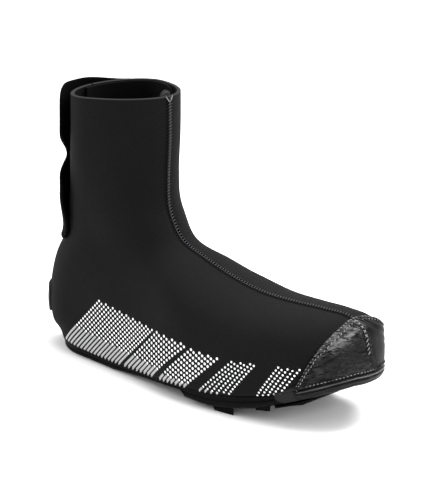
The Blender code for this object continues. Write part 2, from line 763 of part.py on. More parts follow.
def make_heel_patch():
    """The raised patch on the back of the heel, with round corners."""
    patch = band_on_form("heel_patch", GAP, HEEL_PATCH_THICKNESS, "heel")
    radius = HEEL_PATCH_CORNER
    middle = (HEEL_PATCH_TOP + HEEL_PATCH_BOTTOM) / 2
    reach = HEEL_PATCH_WIDTH / 2 - radius
    rise = (HEEL_PATCH_TOP - HEEL_PATCH_BOTTOM) / 2 - radius
    outline = []
    for angle in np.linspace(0.0, 2 * math.pi, 16, endpoint=False) + math.pi / 16:
        side, up = math.cos(angle), math.sin(angle)
        outline.append((math.copysign(reach, side) + radius * side,
                        middle + math.copysign(rise, up) + radius * up))
    cut(patch, cutter("patch_cutter", outline, "X", -0.1 * LENGTH, 0.15 * LENGTH), "INTERSECT")


def make_seam_tab():
    """The rounded end of the inside seam tape, behind the top of the front seam."""
    front = FORM[-1, 0]
    inner = front[0] - WALL - GAP
    middle = float(centre(front[0]))
    outline = []
    for angle in np.linspace(0.0, math.pi, 9):
        outline.append((middle + SEAM_TAB_WIDTH / 2 * math.cos(angle),
                        front[2] - SEAM_TAB_DROP - SEAM_TAB_WIDTH / 2 * math.sin(angle)))
    outline += [(middle - SEAM_TAB_WIDTH / 2, front[2] + SEAM_THICKNESS / 2),
                (middle + SEAM_TAB_WIDTH / 2, front[2] + SEAM_THICKNESS / 2)]
    bend = SEAM_TAB_WIDTH**2 / (1.6 * SHAFT_WIDTH)     # the wall curves away behind its sides
    near = [(inner - bend, y, z) for y, z in outline]
    far = [(inner - bend - SEAM_TAB_THICKNESS, y, z) for y, z in outline]
    prism("seam_tab", near, far, "seam")


def stand_on_origin():
    """Move everything so that the origin is the bottom centre of the whole box."""
    bpy.context.view_layer.update()
    graph = bpy.context.evaluated_depsgraph_get()
    corners = []
    for thing in bpy.data.objects:
        if not thing.hide_render:
            shown = thing.evaluated_get(graph)
            corners += [tuple(vertex.co) for vertex in shown.data.vertices]
    corners = np.array(corners)
    middle = (corners.min(axis=0) + corners.max(axis=0)) / 2
    for thing in bpy.data.objects:
        thing.location = (-middle[0], -middle[1], -corners[:, 2].min())


def main():
    for thing in list(bpy.data.objects):
        bpy.data.objects.remove(thing, do_unlink=True)
    make_upper()
    make_toe_cap()
    make_front_seam()
    make_outsole()
    make_toe_rand()
    make_closure_flap()
    make_underlap()
    make_heel_patch()
    make_seam_tab()
    stand_on_origin()


main()
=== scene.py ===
"""A cycling overshoe for the right foot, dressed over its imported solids.

Frame: +X to the toe, +Y to the inner side of the foot, +Z up, in metres, with the origin on
the floor under the middle of the shoe. The sizes and tables are the shoe's own. Its form is
the surface that the solids have, worked out on a finer grid, and every skin, band, thread
and printed dot is laid on that surface.
"""
import math

import bmesh
import bpy
import numpy as np
from mathutils import Matrix, Vector


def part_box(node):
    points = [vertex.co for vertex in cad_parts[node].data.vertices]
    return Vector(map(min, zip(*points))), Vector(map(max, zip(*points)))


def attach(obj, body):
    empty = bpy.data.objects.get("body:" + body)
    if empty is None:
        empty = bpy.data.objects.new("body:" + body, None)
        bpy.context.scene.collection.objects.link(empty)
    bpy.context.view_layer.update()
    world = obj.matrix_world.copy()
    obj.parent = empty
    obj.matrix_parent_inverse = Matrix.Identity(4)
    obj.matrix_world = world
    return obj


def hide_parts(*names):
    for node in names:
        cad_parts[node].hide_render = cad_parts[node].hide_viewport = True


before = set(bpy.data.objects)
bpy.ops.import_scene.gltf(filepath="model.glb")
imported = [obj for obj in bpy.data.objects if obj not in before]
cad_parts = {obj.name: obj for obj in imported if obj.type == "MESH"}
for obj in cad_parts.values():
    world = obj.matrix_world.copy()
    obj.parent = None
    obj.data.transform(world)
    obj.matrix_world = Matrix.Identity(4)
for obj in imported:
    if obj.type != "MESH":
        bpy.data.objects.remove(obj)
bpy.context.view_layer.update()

# The shoe's sizes
LENGTH = 0.310
COLLAR_HEIGHT = 0.212
COLLAR_RISE = 0.004
COLLAR_MIDDLE = 0.255 * LENGTH
COLLAR_DEPTH = 0.280 * LENGTH
INSTEP_HEIGHT = 0.106
TOE_HEIGHT = 0.078
HEEL_WIDTH = 0.068
BALL_WIDTH = 0.098
SHAFT_WIDTH = 0.088
TOE_SPRING = 0.034
TOE_SWING = 0.014
TURN_UNDER = 0.0030
TURN_HEIGHT = 0.020
SIDE_LEAN = 0.05
TOE_LEAN = 0.30
WALL = 0.003
GAP = 0.0003
HEEL_RUBBER = 0.0065
BAND_INSET = 0.0006
BAND_STEP = 0.0010
LEAST_RUBBER = 0.0015
LUG_INSET = 0.005
LUG_REACH = 0.014
LUG_SKEW = 0.9
LUG_SUNK = 0.0012
CLEAT_LENGTH = 0.070
CLEAT_WIDTH = 0.036
CLEAT_CENTRE = 0.748 * LENGTH
CAP_THICKNESS = 0.0009
RAND_HEIGHT = 0.009
RIB_HEIGHT = 0.0008
RAND_START = 0.852 * LENGTH
SOLE_END = 0.939 * LENGTH
END_ROUND = 0.010
END_THIN = 0.010
SEAM_WIDTH = 0.0050
SEAM_THICKNESS = 0.0008
SEAM_ROLL = 0.00058
SEAM_LEAN = 0.0018
SEAM_PITCH = 0.0024
THREAD_RADIUS = 0.00034
WIDE_THREAD = 0.00042
SLIT_WIDTH = 0.0015
SLIT_BOTTOM = 0.082
FLAP_THICKNESS = 0.0025
FLAP_BOTTOM = 0.090
FLAP_ABOVE = 0.0035
FLAP_NOTCH = 0.158
FLAP_REACH = 0.037
FLAP_ROOT = 0.034
FLAP_STAND_OFF = 0.0055
FLAP_SETTLE = 0.040
TAB_CORNER = 0.009
TAB_DEPTH = 0.020
NOTCH_LOWER = 0.0028
VALLEY_ABOVE = 0.027
VALLEY_BELOW = 0.019
TOP_CORNER = 0.019
TOP_CORNER_HEIGHT = 0.016
FLAP_ROUND = 0.0014
FLAP_FALL = 0.0052
UNDERLAP_THICKNESS = 0.0020
UNDERLAP_BOTTOM = 0.128
UNDERLAP_LENGTH = 0.098
UNDERLAP_HOLD = 0.010
UNDERLAP_CORNER = 0.020
UNDERLAP_DROP = 0.0008
HEEL_PATCH_THICKNESS = 0.0015
HEEL_PATCH_WIDTH = 0.050
HEEL_PATCH_BOTTOM = 0.025
HEEL_PATCH_TOP = 0.050
SEAM_TAB_WIDTH = 0.011
SEAM_TAB_DROP = 0.011
SEAM_TAB_THICKNESS = 0.0012

AROUND = 240               # columns of the fine grid, from the nose round the outer side
ROWS = 150                 # rows from the sole edge to the collar
EASING = 192               # times that the columns are eased from row to row

# Sole edge height: along (share of LENGTH), rise (share of TOE_SPRING)
FEATHER = [(0.00, 0.03), (0.20, 0.00), (0.40, 0.07), (0.55, 0.18), (0.69, 0.25),
           (0.82, 0.47), (0.99, 1.00)]
# Front line of the side view: along, height (1 TOE_HEIGHT, 2 INSTEP_HEIGHT, 3 COLLAR_HEIGHT)
FRONT_LINE = [(0.990, 0.72), (0.976, 0.90), (0.935, 0.98), (0.864, 1.00), (0.778, 1.01),
              (0.684, 1.08), (0.596, 1.31), (0.510, 1.62), (0.428, 2.00), (0.391, 2.19),
              (0.389, 2.42), (0.395, 2.71), (0.396, 3.00)]
# Back line of the side view: along (share of LENGTH), height (share of COLLAR_HEIGHT)
BACK_LINE = [(0.024, 0.052), (0.000, 0.146), (0.002, 0.240), (0.022, 0.359), (0.059, 0.470),
             (0.082, 0.604), (0.097, 0.732), (0.110, 0.860), (0.117, 1.000)]
# Where the back line leaves the sole edge (share of LENGTH)
BACK_START = 0.040
# Half widths of the sole edge: along, outer and inner (shares of HEEL_WIDTH)
HEEL_OUTLINE = [(0.00, 0.447, 0.500), (0.15, 0.457, 0.505), (0.28, 0.515, 0.480)]
# The same forward of the waist (shares of BALL_WIDTH)
BALL_OUTLINE = [(0.41, 0.410, 0.360), (0.53, 0.490, 0.425), (0.66, 0.525, 0.475),
                (0.76, 0.530, 0.465), (0.86, 0.505, 0.430), (0.98, 0.440, 0.405)]
# Half width of heel and shaft: height (share of COLLAR_HEIGHT), width (share of SHAFT_WIDTH)
SHAFT_SIDES = [(0.00, 0.410), (0.14, 0.407), (0.28, 0.372), (0.45, 0.352), (0.61, 0.392),
               (0.78, 0.460), (1.00, 0.499)]
# Rounding behind the front line: place, depth (share of LENGTH), outer and inner power
CROWN = [(0.00, 0.168, 2.0, 2.0), (0.10, 0.162, 3.5, 4.8), (0.35, 0.162, 4.0, 4.8),
         (0.60, 0.148, 4.1, 4.4), (0.80, 0.213, 2.2, 2.2), (1.00, 0.252, 2.0, 2.0)]
# Depth of the rounding before the back line (share of LENGTH)
HEEL_ROUND = 0.123
# Underside of the sole: along (share of LENGTH), height (share of HEEL_RUBBER)
UNDERSIDE = [(0.000, 0.45), (0.045, 0.00), (0.290, 0.00), (0.370, 0.35), (0.440, 0.70),
             (0.500, 1.05), (0.571, 1.30), (0.585, 0.62), (0.630, 0.50), (0.664, 0.50),
             (0.729, 0.94), (0.787, 1.52), (0.832, 2.25), (0.850, 2.55), (0.882, 2.66),
             (0.908, 2.82), (0.922, 3.15), (0.932, 3.70), (0.939, 4.40)]
# Lugs: rear and front end (shares of LENGTH), slope of the rear face, lowest height at the
# rear and the front (shares of HEEL_RUBBER)
LUGS = [(0.664, 0.728, 1.0, 0.00, 0.00), (0.787, 0.829, 0.9, 1.25, 1.50)]
# Side of the sole: depth (share of the thickness), further inset (share of BAND_STEP)
BAND_PROFILE = [(0.00, 0.6), (0.10, 0.0), (0.36, 0.0), (0.42, 0.9), (0.50, 0.9), (0.56, 0.2),
                (0.82, 0.6), (1.00, 2.6)]
# Side of the toe rand: depth (share of RAND_HEIGHT), inset (share of RIB_HEIGHT)
RAND_PROFILE = [(0.00, 0.5), (0.08, -0.5), (0.20, -0.5), (0.27, 0.4), (0.35, 0.4),
                (0.42, -0.5), (0.52, -0.4), (0.60, 0.4), (0.82, 1.2), (1.00, 4.2)]
# Rear edge of the toe cap: along (share of LENGTH), height (share of TOE_HEIGHT)
CAP_EDGE = [(0.931, 1.08), (0.939, 0.99), (0.946, 0.94), (0.945, 0.89), (0.939, 0.81),
            (0.930, 0.74), (0.917, 0.63), (0.905, 0.51), (0.895, 0.41), (0.885, 0.28)]
# Soft creases: side (-1 outer, 1 inner, 0 both), ends of the crease (along, height, shares
# of LENGTH and COLLAR_HEIGHT), half width (m), height out of the surface (m)
CREASES = [
    (0, 0.400, 0.480, 0.250, 0.420, 0.012, -0.0012),
    (0, 0.420, 0.560, 0.270, 0.520, 0.014, 0.0010),
    (-1, 0.200, 0.500, 0.060, 0.430, 0.013, -0.0009),
    (-1, 0.300, 0.360, 0.120, 0.330, 0.018, 0.0010),
    (1, 0.180, 0.480, 0.050, 0.400, 0.013, -0.0009),
    (0, 0.560, 0.370, 0.440, 0.250, 0.012, -0.0008),
    (-1, 0.380, 0.800, 0.200, 0.700, 0.020, -0.0007),
]
# Printed blocks of dots on the outer side: their corner dots, upper rear, upper front, lower
# front, lower rear, each as along (share of LENGTH) and slice level (share of TOE_HEIGHT),
# then columns, steps down a column, the share of the rear and the front column that runs
# into a stripe, and the radius of a dot (m)
PRINT = [
    ((0.2575, 0.606), (0.472, 0.486), (0.327, 0.004), (0.113, 0.054), 17, 18, 0.36, 0.34, 0.00096),
    ((0.494, 0.480), (0.601, 0.433), (0.463, 0.004), (0.350, 0.004), 8, 14, 0.32, 0.25, 0.00108),
    ((0.619, 0.408), (0.699, 0.366), (0.590, 0.006), (0.500, 0.004), 7, 12, 0.18, 0.12, 0.00106),
    ((0.7404, 0.3445), (0.8031, 0.317), (0.729, 0.010), (0.640, 0.006), 6, 12, 0.12, 0.00, 0.00084),
    ((0.8601, 0.2635), (0.9041, 0.1955), (0.8545, -0.045), (0.808, 0.010), 5, 10, 0.00, 0.00, 0.00080),
]


def read(table, column, x):
    """Smooth curve through a table: cubic pieces that share their slopes."""
    rows = np.array(table, float)
    knots, values = rows[:, 0], rows[:, column]
    x = np.clip(x, knots[0], knots[-1])
    step = np.diff(knots)
    slope = np.diff(values) / step
    inner = (slope[:-1] * step[1:] + slope[1:] * step[:-1]) / (knots[2:] - knots[:-2])
    tangent = np.concatenate([slope[:1], inner, slope[-1:]])
    i = np.clip(np.searchsorted(knots, x, side="right") - 1, 0, len(step) - 1)
    t = (x - knots[i]) / step[i]
    start = values[i] * (2 * t**3 - 3 * t**2 + 1) + tangent[i] * step[i] * (t**3 - 2 * t**2 + t)
    end = values[i + 1] * (3 * t**2 - 2 * t**3) + tangent[i + 1] * step[i] * (t**3 - t**2)
    return start + end


def smooth(t):
    """3t^2 - 2t^3 between 0 and 1."""
    t = np.clip(t, 0.0, 1.0)
    return t * t * (3.0 - 2.0 * t)


def quarter(t):
    """Quarter circle, sqrt(1 - (1 - t)^2), between 0 and 1."""
    return np.sqrt(1.0 - (1.0 - np.clip(t, 0.0, 1.0))**2)


def bell(x, middle, width):
    """Bell curve: exp(-((x - middle) / width)^2)."""
    return np.exp(-((x - middle) / width)**2)


def wave(x, length, phase=0.0):
    """Sine that repeats over a length."""
    return np.sin(x * 2 * math.pi / length + phase)


def unit(way):
    """Directions at a length of 1."""
    return way / np.linalg.norm(way, axis=-1, keepdims=True)


def lengths(path):
    """Running length along a path."""
    return np.concatenate([[0.0], np.cumsum(np.linalg.norm(np.diff(path, axis=0), axis=1))])


def spread(points, measure, count):
    """Points of a path at even steps of a measure that grows along it."""
    even = np.linspace(0.0, measure[-1], count + 1)
    return np.column_stack([np.interp(even, measure, points[:, i]) for i in range(points.shape[1])])


def smooth_path(points, count):
    """A smooth curve through points of the side view, at even lengths."""
    points = np.array(points, float)
    table = np.column_stack([lengths(points), points])
    fine = np.linspace(0.0, table[-1, 0], 40 * len(points))
    curve = np.column_stack([read(table, 1, fine), read(table, 2, fine)])
    return spread(curve, lengths(curve), count - 1)


def nearest(x, z, line):
    """Distance of side view points from a line, and the share of its length there."""
    point = np.stack([x, z], axis=-1)[..., None, :]
    start = line[:-1]
    run = line[1:] - start
    t = np.clip(((point - start) * run).sum(-1) / (run**2).sum(-1), 0.0, 1.0)
    away = np.linalg.norm(point - start - t[..., None] * run, axis=-1)
    best = away.argmin(-1)[..., None]
    share = (best + np.take_along_axis(t, best, -1)) / len(start)
    return np.take_along_axis(away, best, -1)[..., 0], share[..., 0]


def feather(x):
    """Height of the sole edge: heel rubber plus toe spring times its table."""
    return HEEL_RUBBER + TOE_SPRING * read(FEATHER, 1, x / LENGTH)


def slice_height(level, x):
    """Height of a slice: level, plus the sole edge fading out, plus the collar's tilt."""
    follow = 1.0 - smooth(level / COLLAR_HEIGHT)
    tilt = COLLAR_RISE / COLLAR_DEPTH * smooth(level / COLLAR_HEIGHT)
    return level + feather(x) * follow + tilt * (x - COLLAR_MIDDLE)


def slice_level(x, z):
    """The slice through side view points, by halving."""
    low = np.zeros_like(x)
    high = np.full_like(x, COLLAR_HEIGHT)
    for _ in range(40):
        middle = (low + high) / 2
        above = slice_height(middle, x) > z
        high = np.where(above, middle, high)
        low = np.where(above, low, middle)
    return (low + high) / 2


def profile_lines():
    """Front and back line of the side view, from the sole edge to the collar."""
    heights = [0.0, TOE_HEIGHT, INSTEP_HEIGHT, COLLAR_HEIGHT]
    front = [(LENGTH, float(feather(LENGTH)))]
    front += [(a * LENGTH, float(np.interp(h, range(4), heights))) for a, h in FRONT_LINE]
    back = [(BACK_START * LENGTH, float(feather(BACK_START * LENGTH)))]
    back += [(along * LENGTH, height * COLLAR_HEIGHT) for along, height in BACK_LINE]
    for line in (front, back):
        x = line[-1][0]
        line[-1] = (x, float(slice_height(COLLAR_HEIGHT, x)))
    return smooth_path(front, 160), smooth_path(back, 100)


FRONT, BACK = profile_lines()


def centre(x):
    """The middle of the foot in plan, swinging to the inner side at the toe."""
    return TOE_SWING * smooth((x / LENGTH - 0.50) / 0.55)


def half_widths(level, x, z):
    """Half widths: sole outline or shaft, times the rounding at the front and back line."""
    to_front, place = nearest(x, z, FRONT)
    to_back, _ = nearest(x, z, BACK)
    under_crown = 1.0 - np.clip(to_front / (LENGTH * read(CROWN, 1, place)), 0.0, 1.0)
    behind = 1.0 - (1.0 - np.clip(to_back / (HEEL_ROUND * LENGTH), 0.0, 1.0))**2
    turn = TURN_UNDER * quarter(level / TURN_HEIGHT)
    turn *= 1.0 - smooth((x / LENGTH - 0.72) / 0.22)
    lean = SIDE_LEAN + (TOE_LEAN - SIDE_LEAN) * smooth((x / LENGTH - 0.84) / 0.14)
    lean = 1.0 - lean * np.clip(level / TOE_HEIGHT, 0.0, 1.0)
    shaft = smooth((z / COLLAR_HEIGHT - 0.19) / 0.28) * (1.0 - smooth((x / LENGTH - 0.31) / 0.26))
    legs = SHAFT_WIDTH * read(SHAFT_SIDES, 1, z / COLLAR_HEIGHT)
    sides = []
    for column in (1, 2):
        outline = [(row[0], row[column] * HEEL_WIDTH) for row in HEEL_OUTLINE]
        outline += [(row[0], row[column] * BALL_WIDTH) for row in BALL_OUTLINE]
        foot = read(outline, 1, x / LENGTH) * lean + turn
        over = 1.0 - under_crown**read(CROWN, column + 1, place)
        sides.append(np.sqrt(over * behind) * (foot * (1.0 - shaft) + legs * shaft))
    return sides


def half_slices(level, nose, back):
    """Both sides of a slice at even lengths, from the front line to the back line."""
    t = np.linspace(0.0, 1.0, 500)
    share = (1.0 - np.cos(math.pi * t)) / 2
    share = np.where(t < 0.5, 2 * share**2, 1 - 2 * (1 - share)**2)
    x = nose + (back - nose) * share
    z = slice_height(level, x)
    sides = []
    for sign, width in zip((-1.0, 1.0), half_widths(level, x, z)):
        width[[0, -1]] = 0.0
        points = np.column_stack([x, centre(x) + sign * width, z])
        sides.append(spread(points, lengths(points), 320))
    return sides


def column_shares(points):
    """Shares of a half slice's length for its columns, closer where the slice turns."""
    step = np.diff(points, axis=0)
    heading = np.unwrap(np.arctan2(step[:, 1], step[:, 0]))
    window = np.hanning(49)
    turning = np.convolve(np.abs(np.diff(heading)), window / window.sum(), mode="same")
    turned = np.concatenate([[0.0], np.cumsum(turning), [turning.sum()]])
    measure = lengths(points) + 0.17 * LENGTH * turned
    even = np.linspace(0.0, measure[-1], AROUND // 2 + 1)
    return np.interp(even, measure, np.linspace(0.0, 1.0, len(points)))


def form_grid():
    """Points of the form, row by row, their outward directions, and each row's level."""
    front_level = np.maximum.accumulate(slice_level(FRONT[:, 0], FRONT[:, 1]))
    back_level = np.maximum.accumulate(slice_level(BACK[:, 0], BACK[:, 1]))
    levels = np.linspace(0.0, COLLAR_HEIGHT, 400)
    nose = np.column_stack([np.interp(levels, front_level, FRONT[:, i]) for i in range(2)])
    heel = np.column_stack([np.interp(levels, back_level, BACK[:, i]) for i in range(2)])
    measure = lengths(nose) + lengths(heel)
    chosen = np.interp(np.linspace(0.0, measure[-1], ROWS), measure, levels)
    front_x = np.interp(chosen, levels, nose[:, 0])
    back_x = np.interp(chosen, levels, heel[:, 0])
    slices = [half_slices(*row) for row in zip(chosen, front_x, back_x)]
    halves = []
    for side in (0, 1):
        shares = np.array([column_shares(pair[side]) for pair in slices])
        for _ in range(EASING):
            shares[1:-1] = (shares[:-2] + 2 * shares[1:-1] + shares[2:]) / 4
        even = np.linspace(0.0, 1.0, len(slices[0][0]))
        rows = [[np.interp(share, even, pair[side][:, i]) for i in range(3)]
                for share, pair in zip(shares, slices)]
        halves.append(np.transpose(rows, (0, 2, 1)))
    points = np.concatenate([halves[0], halves[1][:, -2:0:-1]], axis=1)
    round_it = np.roll(points, -1, axis=1) - np.roll(points, 1, axis=1)
    outward = np.cross(np.gradient(points, axis=0), round_it)
    outward[[0, -1], :, 2] = 0.0
    return points, unit(outward), chosen


POINTS, NORMALS, LEVELS = form_grid()
HALF = AROUND // 2
LAST = ROWS - 1.0


def read_grid(grid, u, v):
    """Bilinear reading of a grid at column u, counted round, and row v."""
    u, v = np.broadcast_arrays(np.asarray(u, float) % AROUND, np.clip(v, 0.0, LAST))
    left = np.floor(u).astype(int) % AROUND
    right = (left + 1) % AROUND
    low = np.minimum(np.floor(v).astype(int), ROWS - 2)
    s = (u - np.floor(u))[..., None]
    t = (v - low)[..., None]
    lower = grid[low, left] * (1 - s) + grid[low, right] * s
    upper = grid[low + 1, left] * (1 - s) + grid[low + 1, right] * s
    return lower * (1 - t) + upper * t


def way_out(u, v):
    """Unit direction out of the form."""
    return unit(read_grid(NORMALS, u, v))


def crossing(values, target):
    """Fractional index at which values along the last axis first pass a target."""
    past = values >= np.asarray(target)[..., None]
    i = np.where(past.any(-1), past.argmax(-1), values.shape[-1] - 1)
    i = np.clip(i, 1, values.shape[-1] - 1)[..., None]
    low = np.take_along_axis(values, i - 1, -1)[..., 0]
    high = np.take_along_axis(values, i, -1)[..., 0]
    step = np.where(np.abs(high - low) < 1e-9, 1e-9, high - low)
    return i[..., 0] - 1 + np.clip((target - low) / step, 0.0, 1.0)


def row_of_level(level):
    """Row of the slice with that level."""
    return np.interp(level, LEVELS, np.arange(ROWS))


def row_of_height(height, u):
    """Row at which columns u reach a height."""
    heights = read_grid(POINTS, np.asarray(u, float)[..., None], np.arange(ROWS))[..., 2]
    return crossing(heights, height)


def outer_column(x, v):
    """Column on the outer side at a distance from the heel back, on rows v."""
    along = read_grid(POINTS, np.arange(HALF + 1), np.asarray(v, float)[..., None])[..., 0]
    return crossing(-along, -np.asarray(x))


def relief(points, u):
    """Creases: each adds depth times exp(-(distance / half width)^2), fading at its ends."""
    side = np.where((u % AROUND) < HALF, -1, 1)
    total = np.zeros(points.shape[:-1])
    for which, x0, z0, x1, z1, half_width, depth in CREASES:
        start = np.array([x0 * LENGTH, z0 * COLLAR_HEIGHT])
        run = np.array([x1 * LENGTH, z1 * COLLAR_HEIGHT]) - start
        place = points[..., [0, 2]] - start
        t = (place @ run) / (run @ run)
        off = np.linalg.norm(place - np.clip(t, 0.0, 1.0)[..., None] * run, axis=-1)
        fade = smooth(1.15 - np.abs(t - 0.5))
        here = depth * bell(off, 0.0, half_width) * fade
        total += np.where((which == 0) | (side == which), here, 0.0)
    near_nose = np.minimum(u % AROUND, AROUND - u % AROUND)
    return total * smooth(near_nose / 8.0) * smooth(np.abs((u % AROUND) - HALF) / 6.0)


def lay(u, v, out=0.0):
    """A point of the creased form at column u and row v, moved out along its direction."""
    u, v, out = np.broadcast_arrays(np.asarray(u, float), np.asarray(v, float), np.asarray(out, float))
    points = read_grid(POINTS, u, v)
    return points + (out + relief(points, u))[..., None] * way_out(u, v)


low_corner = np.array(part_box("upper")[0])
SHIFT = np.array([*(low_corner - POINTS.reshape(-1, 3).min(axis=0))[:2], 0.0])


# Finishes

def linear(code, alpha=1.0):
    """An sRGB hex code as linear red, green, blue and alpha."""
    channels = np.array([int(code[i:i + 2], 16) for i in (1, 3, 5)]) / 255.0
    value = np.where(channels <= 0.04045, channels / 12.92, ((channels + 0.055) / 1.055)**2.4)
    return (*value.tolist(), alpha)


def add(tree, kind, inputs=None, **settings):
    """A node with its settings; an input is a value or the output that feeds it."""
    made = tree.nodes.new(kind)
    for name, value in settings.items():
        setattr(made, name, value)
    for name, value in (inputs or {}).items():
        if isinstance(value, bpy.types.NodeSocket):
            tree.links.new(value, made.inputs[name])
        else:
            made.inputs[name].default_value = value
    return made


def finish(name, colour, roughness, specular, sheen=0.0, coat=0.0, coat_roughness=0.1):
    """A material with its Principled surface."""
    made = bpy.data.materials.new(name)
    made.use_nodes = True
    tree = made.node_tree
    surface = tree.nodes["Principled BSDF"]
    surface.inputs["Base Color"].default_value = linear(colour)
    surface.inputs["Roughness"].default_value = roughness
    surface.inputs["Specular IOR Level"].default_value = specular
    surface.inputs["Sheen Weight"].default_value = sheen
    surface.inputs["Sheen Roughness"].default_value = 0.5
    surface.inputs["Coat Weight"].default_value = coat
    surface.inputs["Coat Roughness"].default_value = coat_roughness
    return made, tree, surface


def noise(tree, place, scale, detail, roughness=0.5, distortion=0.0, **settings):
    """A noise field's value at a place."""
    made = add(tree, "ShaderNodeTexNoise", {"Vector": place, "Scale": scale, "Detail": detail,
                                            "Roughness": roughness, "Distortion": distortion},
               **settings)
    return made.outputs["Fac"]


def combine(tree, operation, *values):
    """Values or outputs combined by one operation of arithmetic."""
    made = add(tree, "ShaderNodeMath", dict(enumerate(values)), operation=operation)
    return made.outputs[0]


def in_range(tree, value, low, high, to_low, to_high):
    """A value moved from the range low to high into another range, and held inside it."""
    made = add(tree, "ShaderNodeMapRange", {"Value": value, "From Min": low, "From Max": high,
                                            "To Min": to_low, "To Max": to_high})
    return made.outputs[0]


def mix(tree, share, first, second):
    """Two colours mixed: first at a share of 0, second at 1."""
    made = add(tree, "ShaderNodeMix", {0: share, 6: first, 7: second}, data_type="RGBA")
    return made.outputs[2]


def emboss(tree, surface, height, strength, distance=0.0004):
    """A height field as bump on a surface."""
    made = add(tree, "ShaderNodeBump", {"Height": height, "Strength": strength,
                                        "Distance": distance})
    tree.links.new(made.outputs[0], surface.inputs["Normal"])
    return made.outputs[0]


def knit(name, colour, second, strength, sheen):
    """Knit face of foam rubber: two crossed sets of fine ribs under a soft mottle.

    The real rows are 0.4 mm apart; they are drawn 1.1 mm apart, so that they show.
    """
    made, tree, surface = finish(name, colour, 0.88, 0.07, sheen)
    place = add(tree, "ShaderNodeTexCoord").outputs["Object"]
    ribs = []
    for angle in (0.7, -0.7):
        turned = add(tree, "ShaderNodeMapping", {"Vector": place, "Rotation": (0.0, angle, 0.35)})
        bands = add(tree, "ShaderNodeTexWave", {"Vector": turned.outputs[0], "Scale": 285.0,
                                                "Distortion": 1.5, "Detail": 1.0,
                                                "Detail Scale": 2.0}, bands_direction="X")
        ribs.append(bands.outputs["Fac"])
    height = combine(tree, "ADD", combine(tree, "MULTIPLY", *ribs), noise(tree, place, 420.0, 3.0))
    emboss(tree, surface, height, strength)
    mottle = mix(tree, noise(tree, place, 45.0, 8.0, 0.75), linear(colour), linear(second))
    tree.links.new(mottle, surface.inputs["Base Color"])
    return made


HIGHLIGHT_PATCH_COLOUR = "#666667"      # paler colour of the painted highlight patch on the cap's creases


def crinkled(name, colour, highlight_colour, strength, stretch, roughness, specular, coat):
    """Polyurethane coated fabric: a glossy film with sharp fine creases across the toe.

    Ridged creases 1 to 4 mm apart, stretched along the foot, over a grain of 0.8 mm. They
    make the gloss uneven, a third less to a third more. Streaks of a paler colour, where a
    second noise stretched the same way is high, are painted highlight. Where a piece carries
    the attribute painted_highlight, more streaks are painted, and paler.
    """
    made, tree, surface = finish(name, colour, roughness, specular, 0.0, coat, 0.07)
    place = add(tree, "ShaderNodeTexCoord").outputs["Object"]
    turned = add(tree, "ShaderNodeMapping", {"Vector": place, "Rotation": (0.20, 0.16, 0.25),
                                             "Scale": stretch}).outputs[0]
    creases = noise(tree, turned, 210.0, 4.0, 0.6, 0.6, noise_type="RIDGED_MULTIFRACTAL")
    grain = combine(tree, "MULTIPLY", noise(tree, place, 1100.0, 2.0), 0.35)
    raised = emboss(tree, surface, combine(tree, "ADD", creases, grain), strength, 0.0009)
    gloss = in_range(tree, creases, 0.2, 1.8, roughness * 1.35, roughness * 0.65)
    # Painted highlight patch: the piece's painted_highlight share, read here, adds streaks and makes
    # them paler
    painted_shine = add(tree, "ShaderNodeAttribute", attribute_name="painted_highlight").outputs["Fac"]
    # Painted highlight: where a second stretched noise is high, the colour turns to the paler
    # highlight colour in streaks
    folds = combine(tree, "MULTIPLY_ADD", painted_shine, 0.10, noise(tree, turned, 420.0, 3.0, 0.6, 0.8))
    pale = mix(tree, painted_shine, linear(highlight_colour), linear(HIGHLIGHT_PATCH_COLOUR))
    painted_streaks = mix(tree, in_range(tree, folds, 0.48, 0.70, 0.0, 1.0), linear(colour), pale)
    tree.links.new(painted_streaks, surface.inputs["Base Color"])
    tree.links.new(raised, surface.inputs["Coat Normal"])
    tree.links.new(gloss, surface.inputs["Roughness"])
    return made


def grainy(name, colour, roughness, scale, strength, specular):
    """A plain material with a fine grain: noise as bump."""
    made, tree, surface = finish(name, colour, roughness, specular)
    place = add(tree, "ShaderNodeTexCoord").outputs["Object"]
    emboss(tree, surface, noise(tree, place, scale, 4.0), strength)
    return made


# Polyester jersey on foam rubber: dull black with a faint lift at grazing angles
NEOPRENE = knit("jersey_on_foam_rubber", "#0c0c0d", "#121213", 0.60, 0.01)
# The same jersey inside the collar, darker for the shade of the leg opening
LINING = knit("jersey_lining", "#050505", "#080808", 0.30, 0.0)
# Cut foam rubber: pale grey against the jersey, open pored
CUT_EDGE = grainy("cut_foam_rubber", "#29292a", 0.9, 900.0, 0.4, 0.08)
# Brushed nylon loop cloth of the flap: takes nearly all light
LOOP_CLOTH = grainy("brushed_nylon_loop", "#020202", 0.95, 1400.0, 0.6, 0.04)
# The second colour of the three coated finishes below paints highlight streaks on them
# Polyurethane coated polyester: black, glossy and creased
COATED = crinkled("polyurethane_coated_fabric", "#010101", "#131314", 1.0,
                  (0.45, 0.45, 1.5), 0.20, 0.06, 0.14)
# The inner half of the cap, where the coating lies smooth: a soft grey shine
SMOOTH_COATED = crinkled("smooth_coated_fabric", "#040404", "#0a0a0b", 0.25,
                         (0.8, 0.8, 1.0), 0.40, 0.07, 0.04)
# The same coating pressed round the rand
RAND = crinkled("polyurethane_coated_rand", "#050505", "#161617", 0.35,
                (0.5, 0.5, 1.2), 0.34, 0.10, 0.08)
# Piping round the rand: its pale colour is a painted highlight along the glossy rib
PIPING_HIGHLIGHT = grainy("piping_painted_highlight", "#353536", 0.3, 420.0, 0.9, 0.6)
# Tail of the rand: smooth uncoated rubber, matte grey
TAIL = grainy("matte_rubber_tail", "#1d1d1e", 0.6, 700.0, 0.12, 0.1)
# Moulded rubber: near black, dull
RUBBER = grainy("moulded_rubber", "#020202", 0.55, 700.0, 0.25, 0.06)
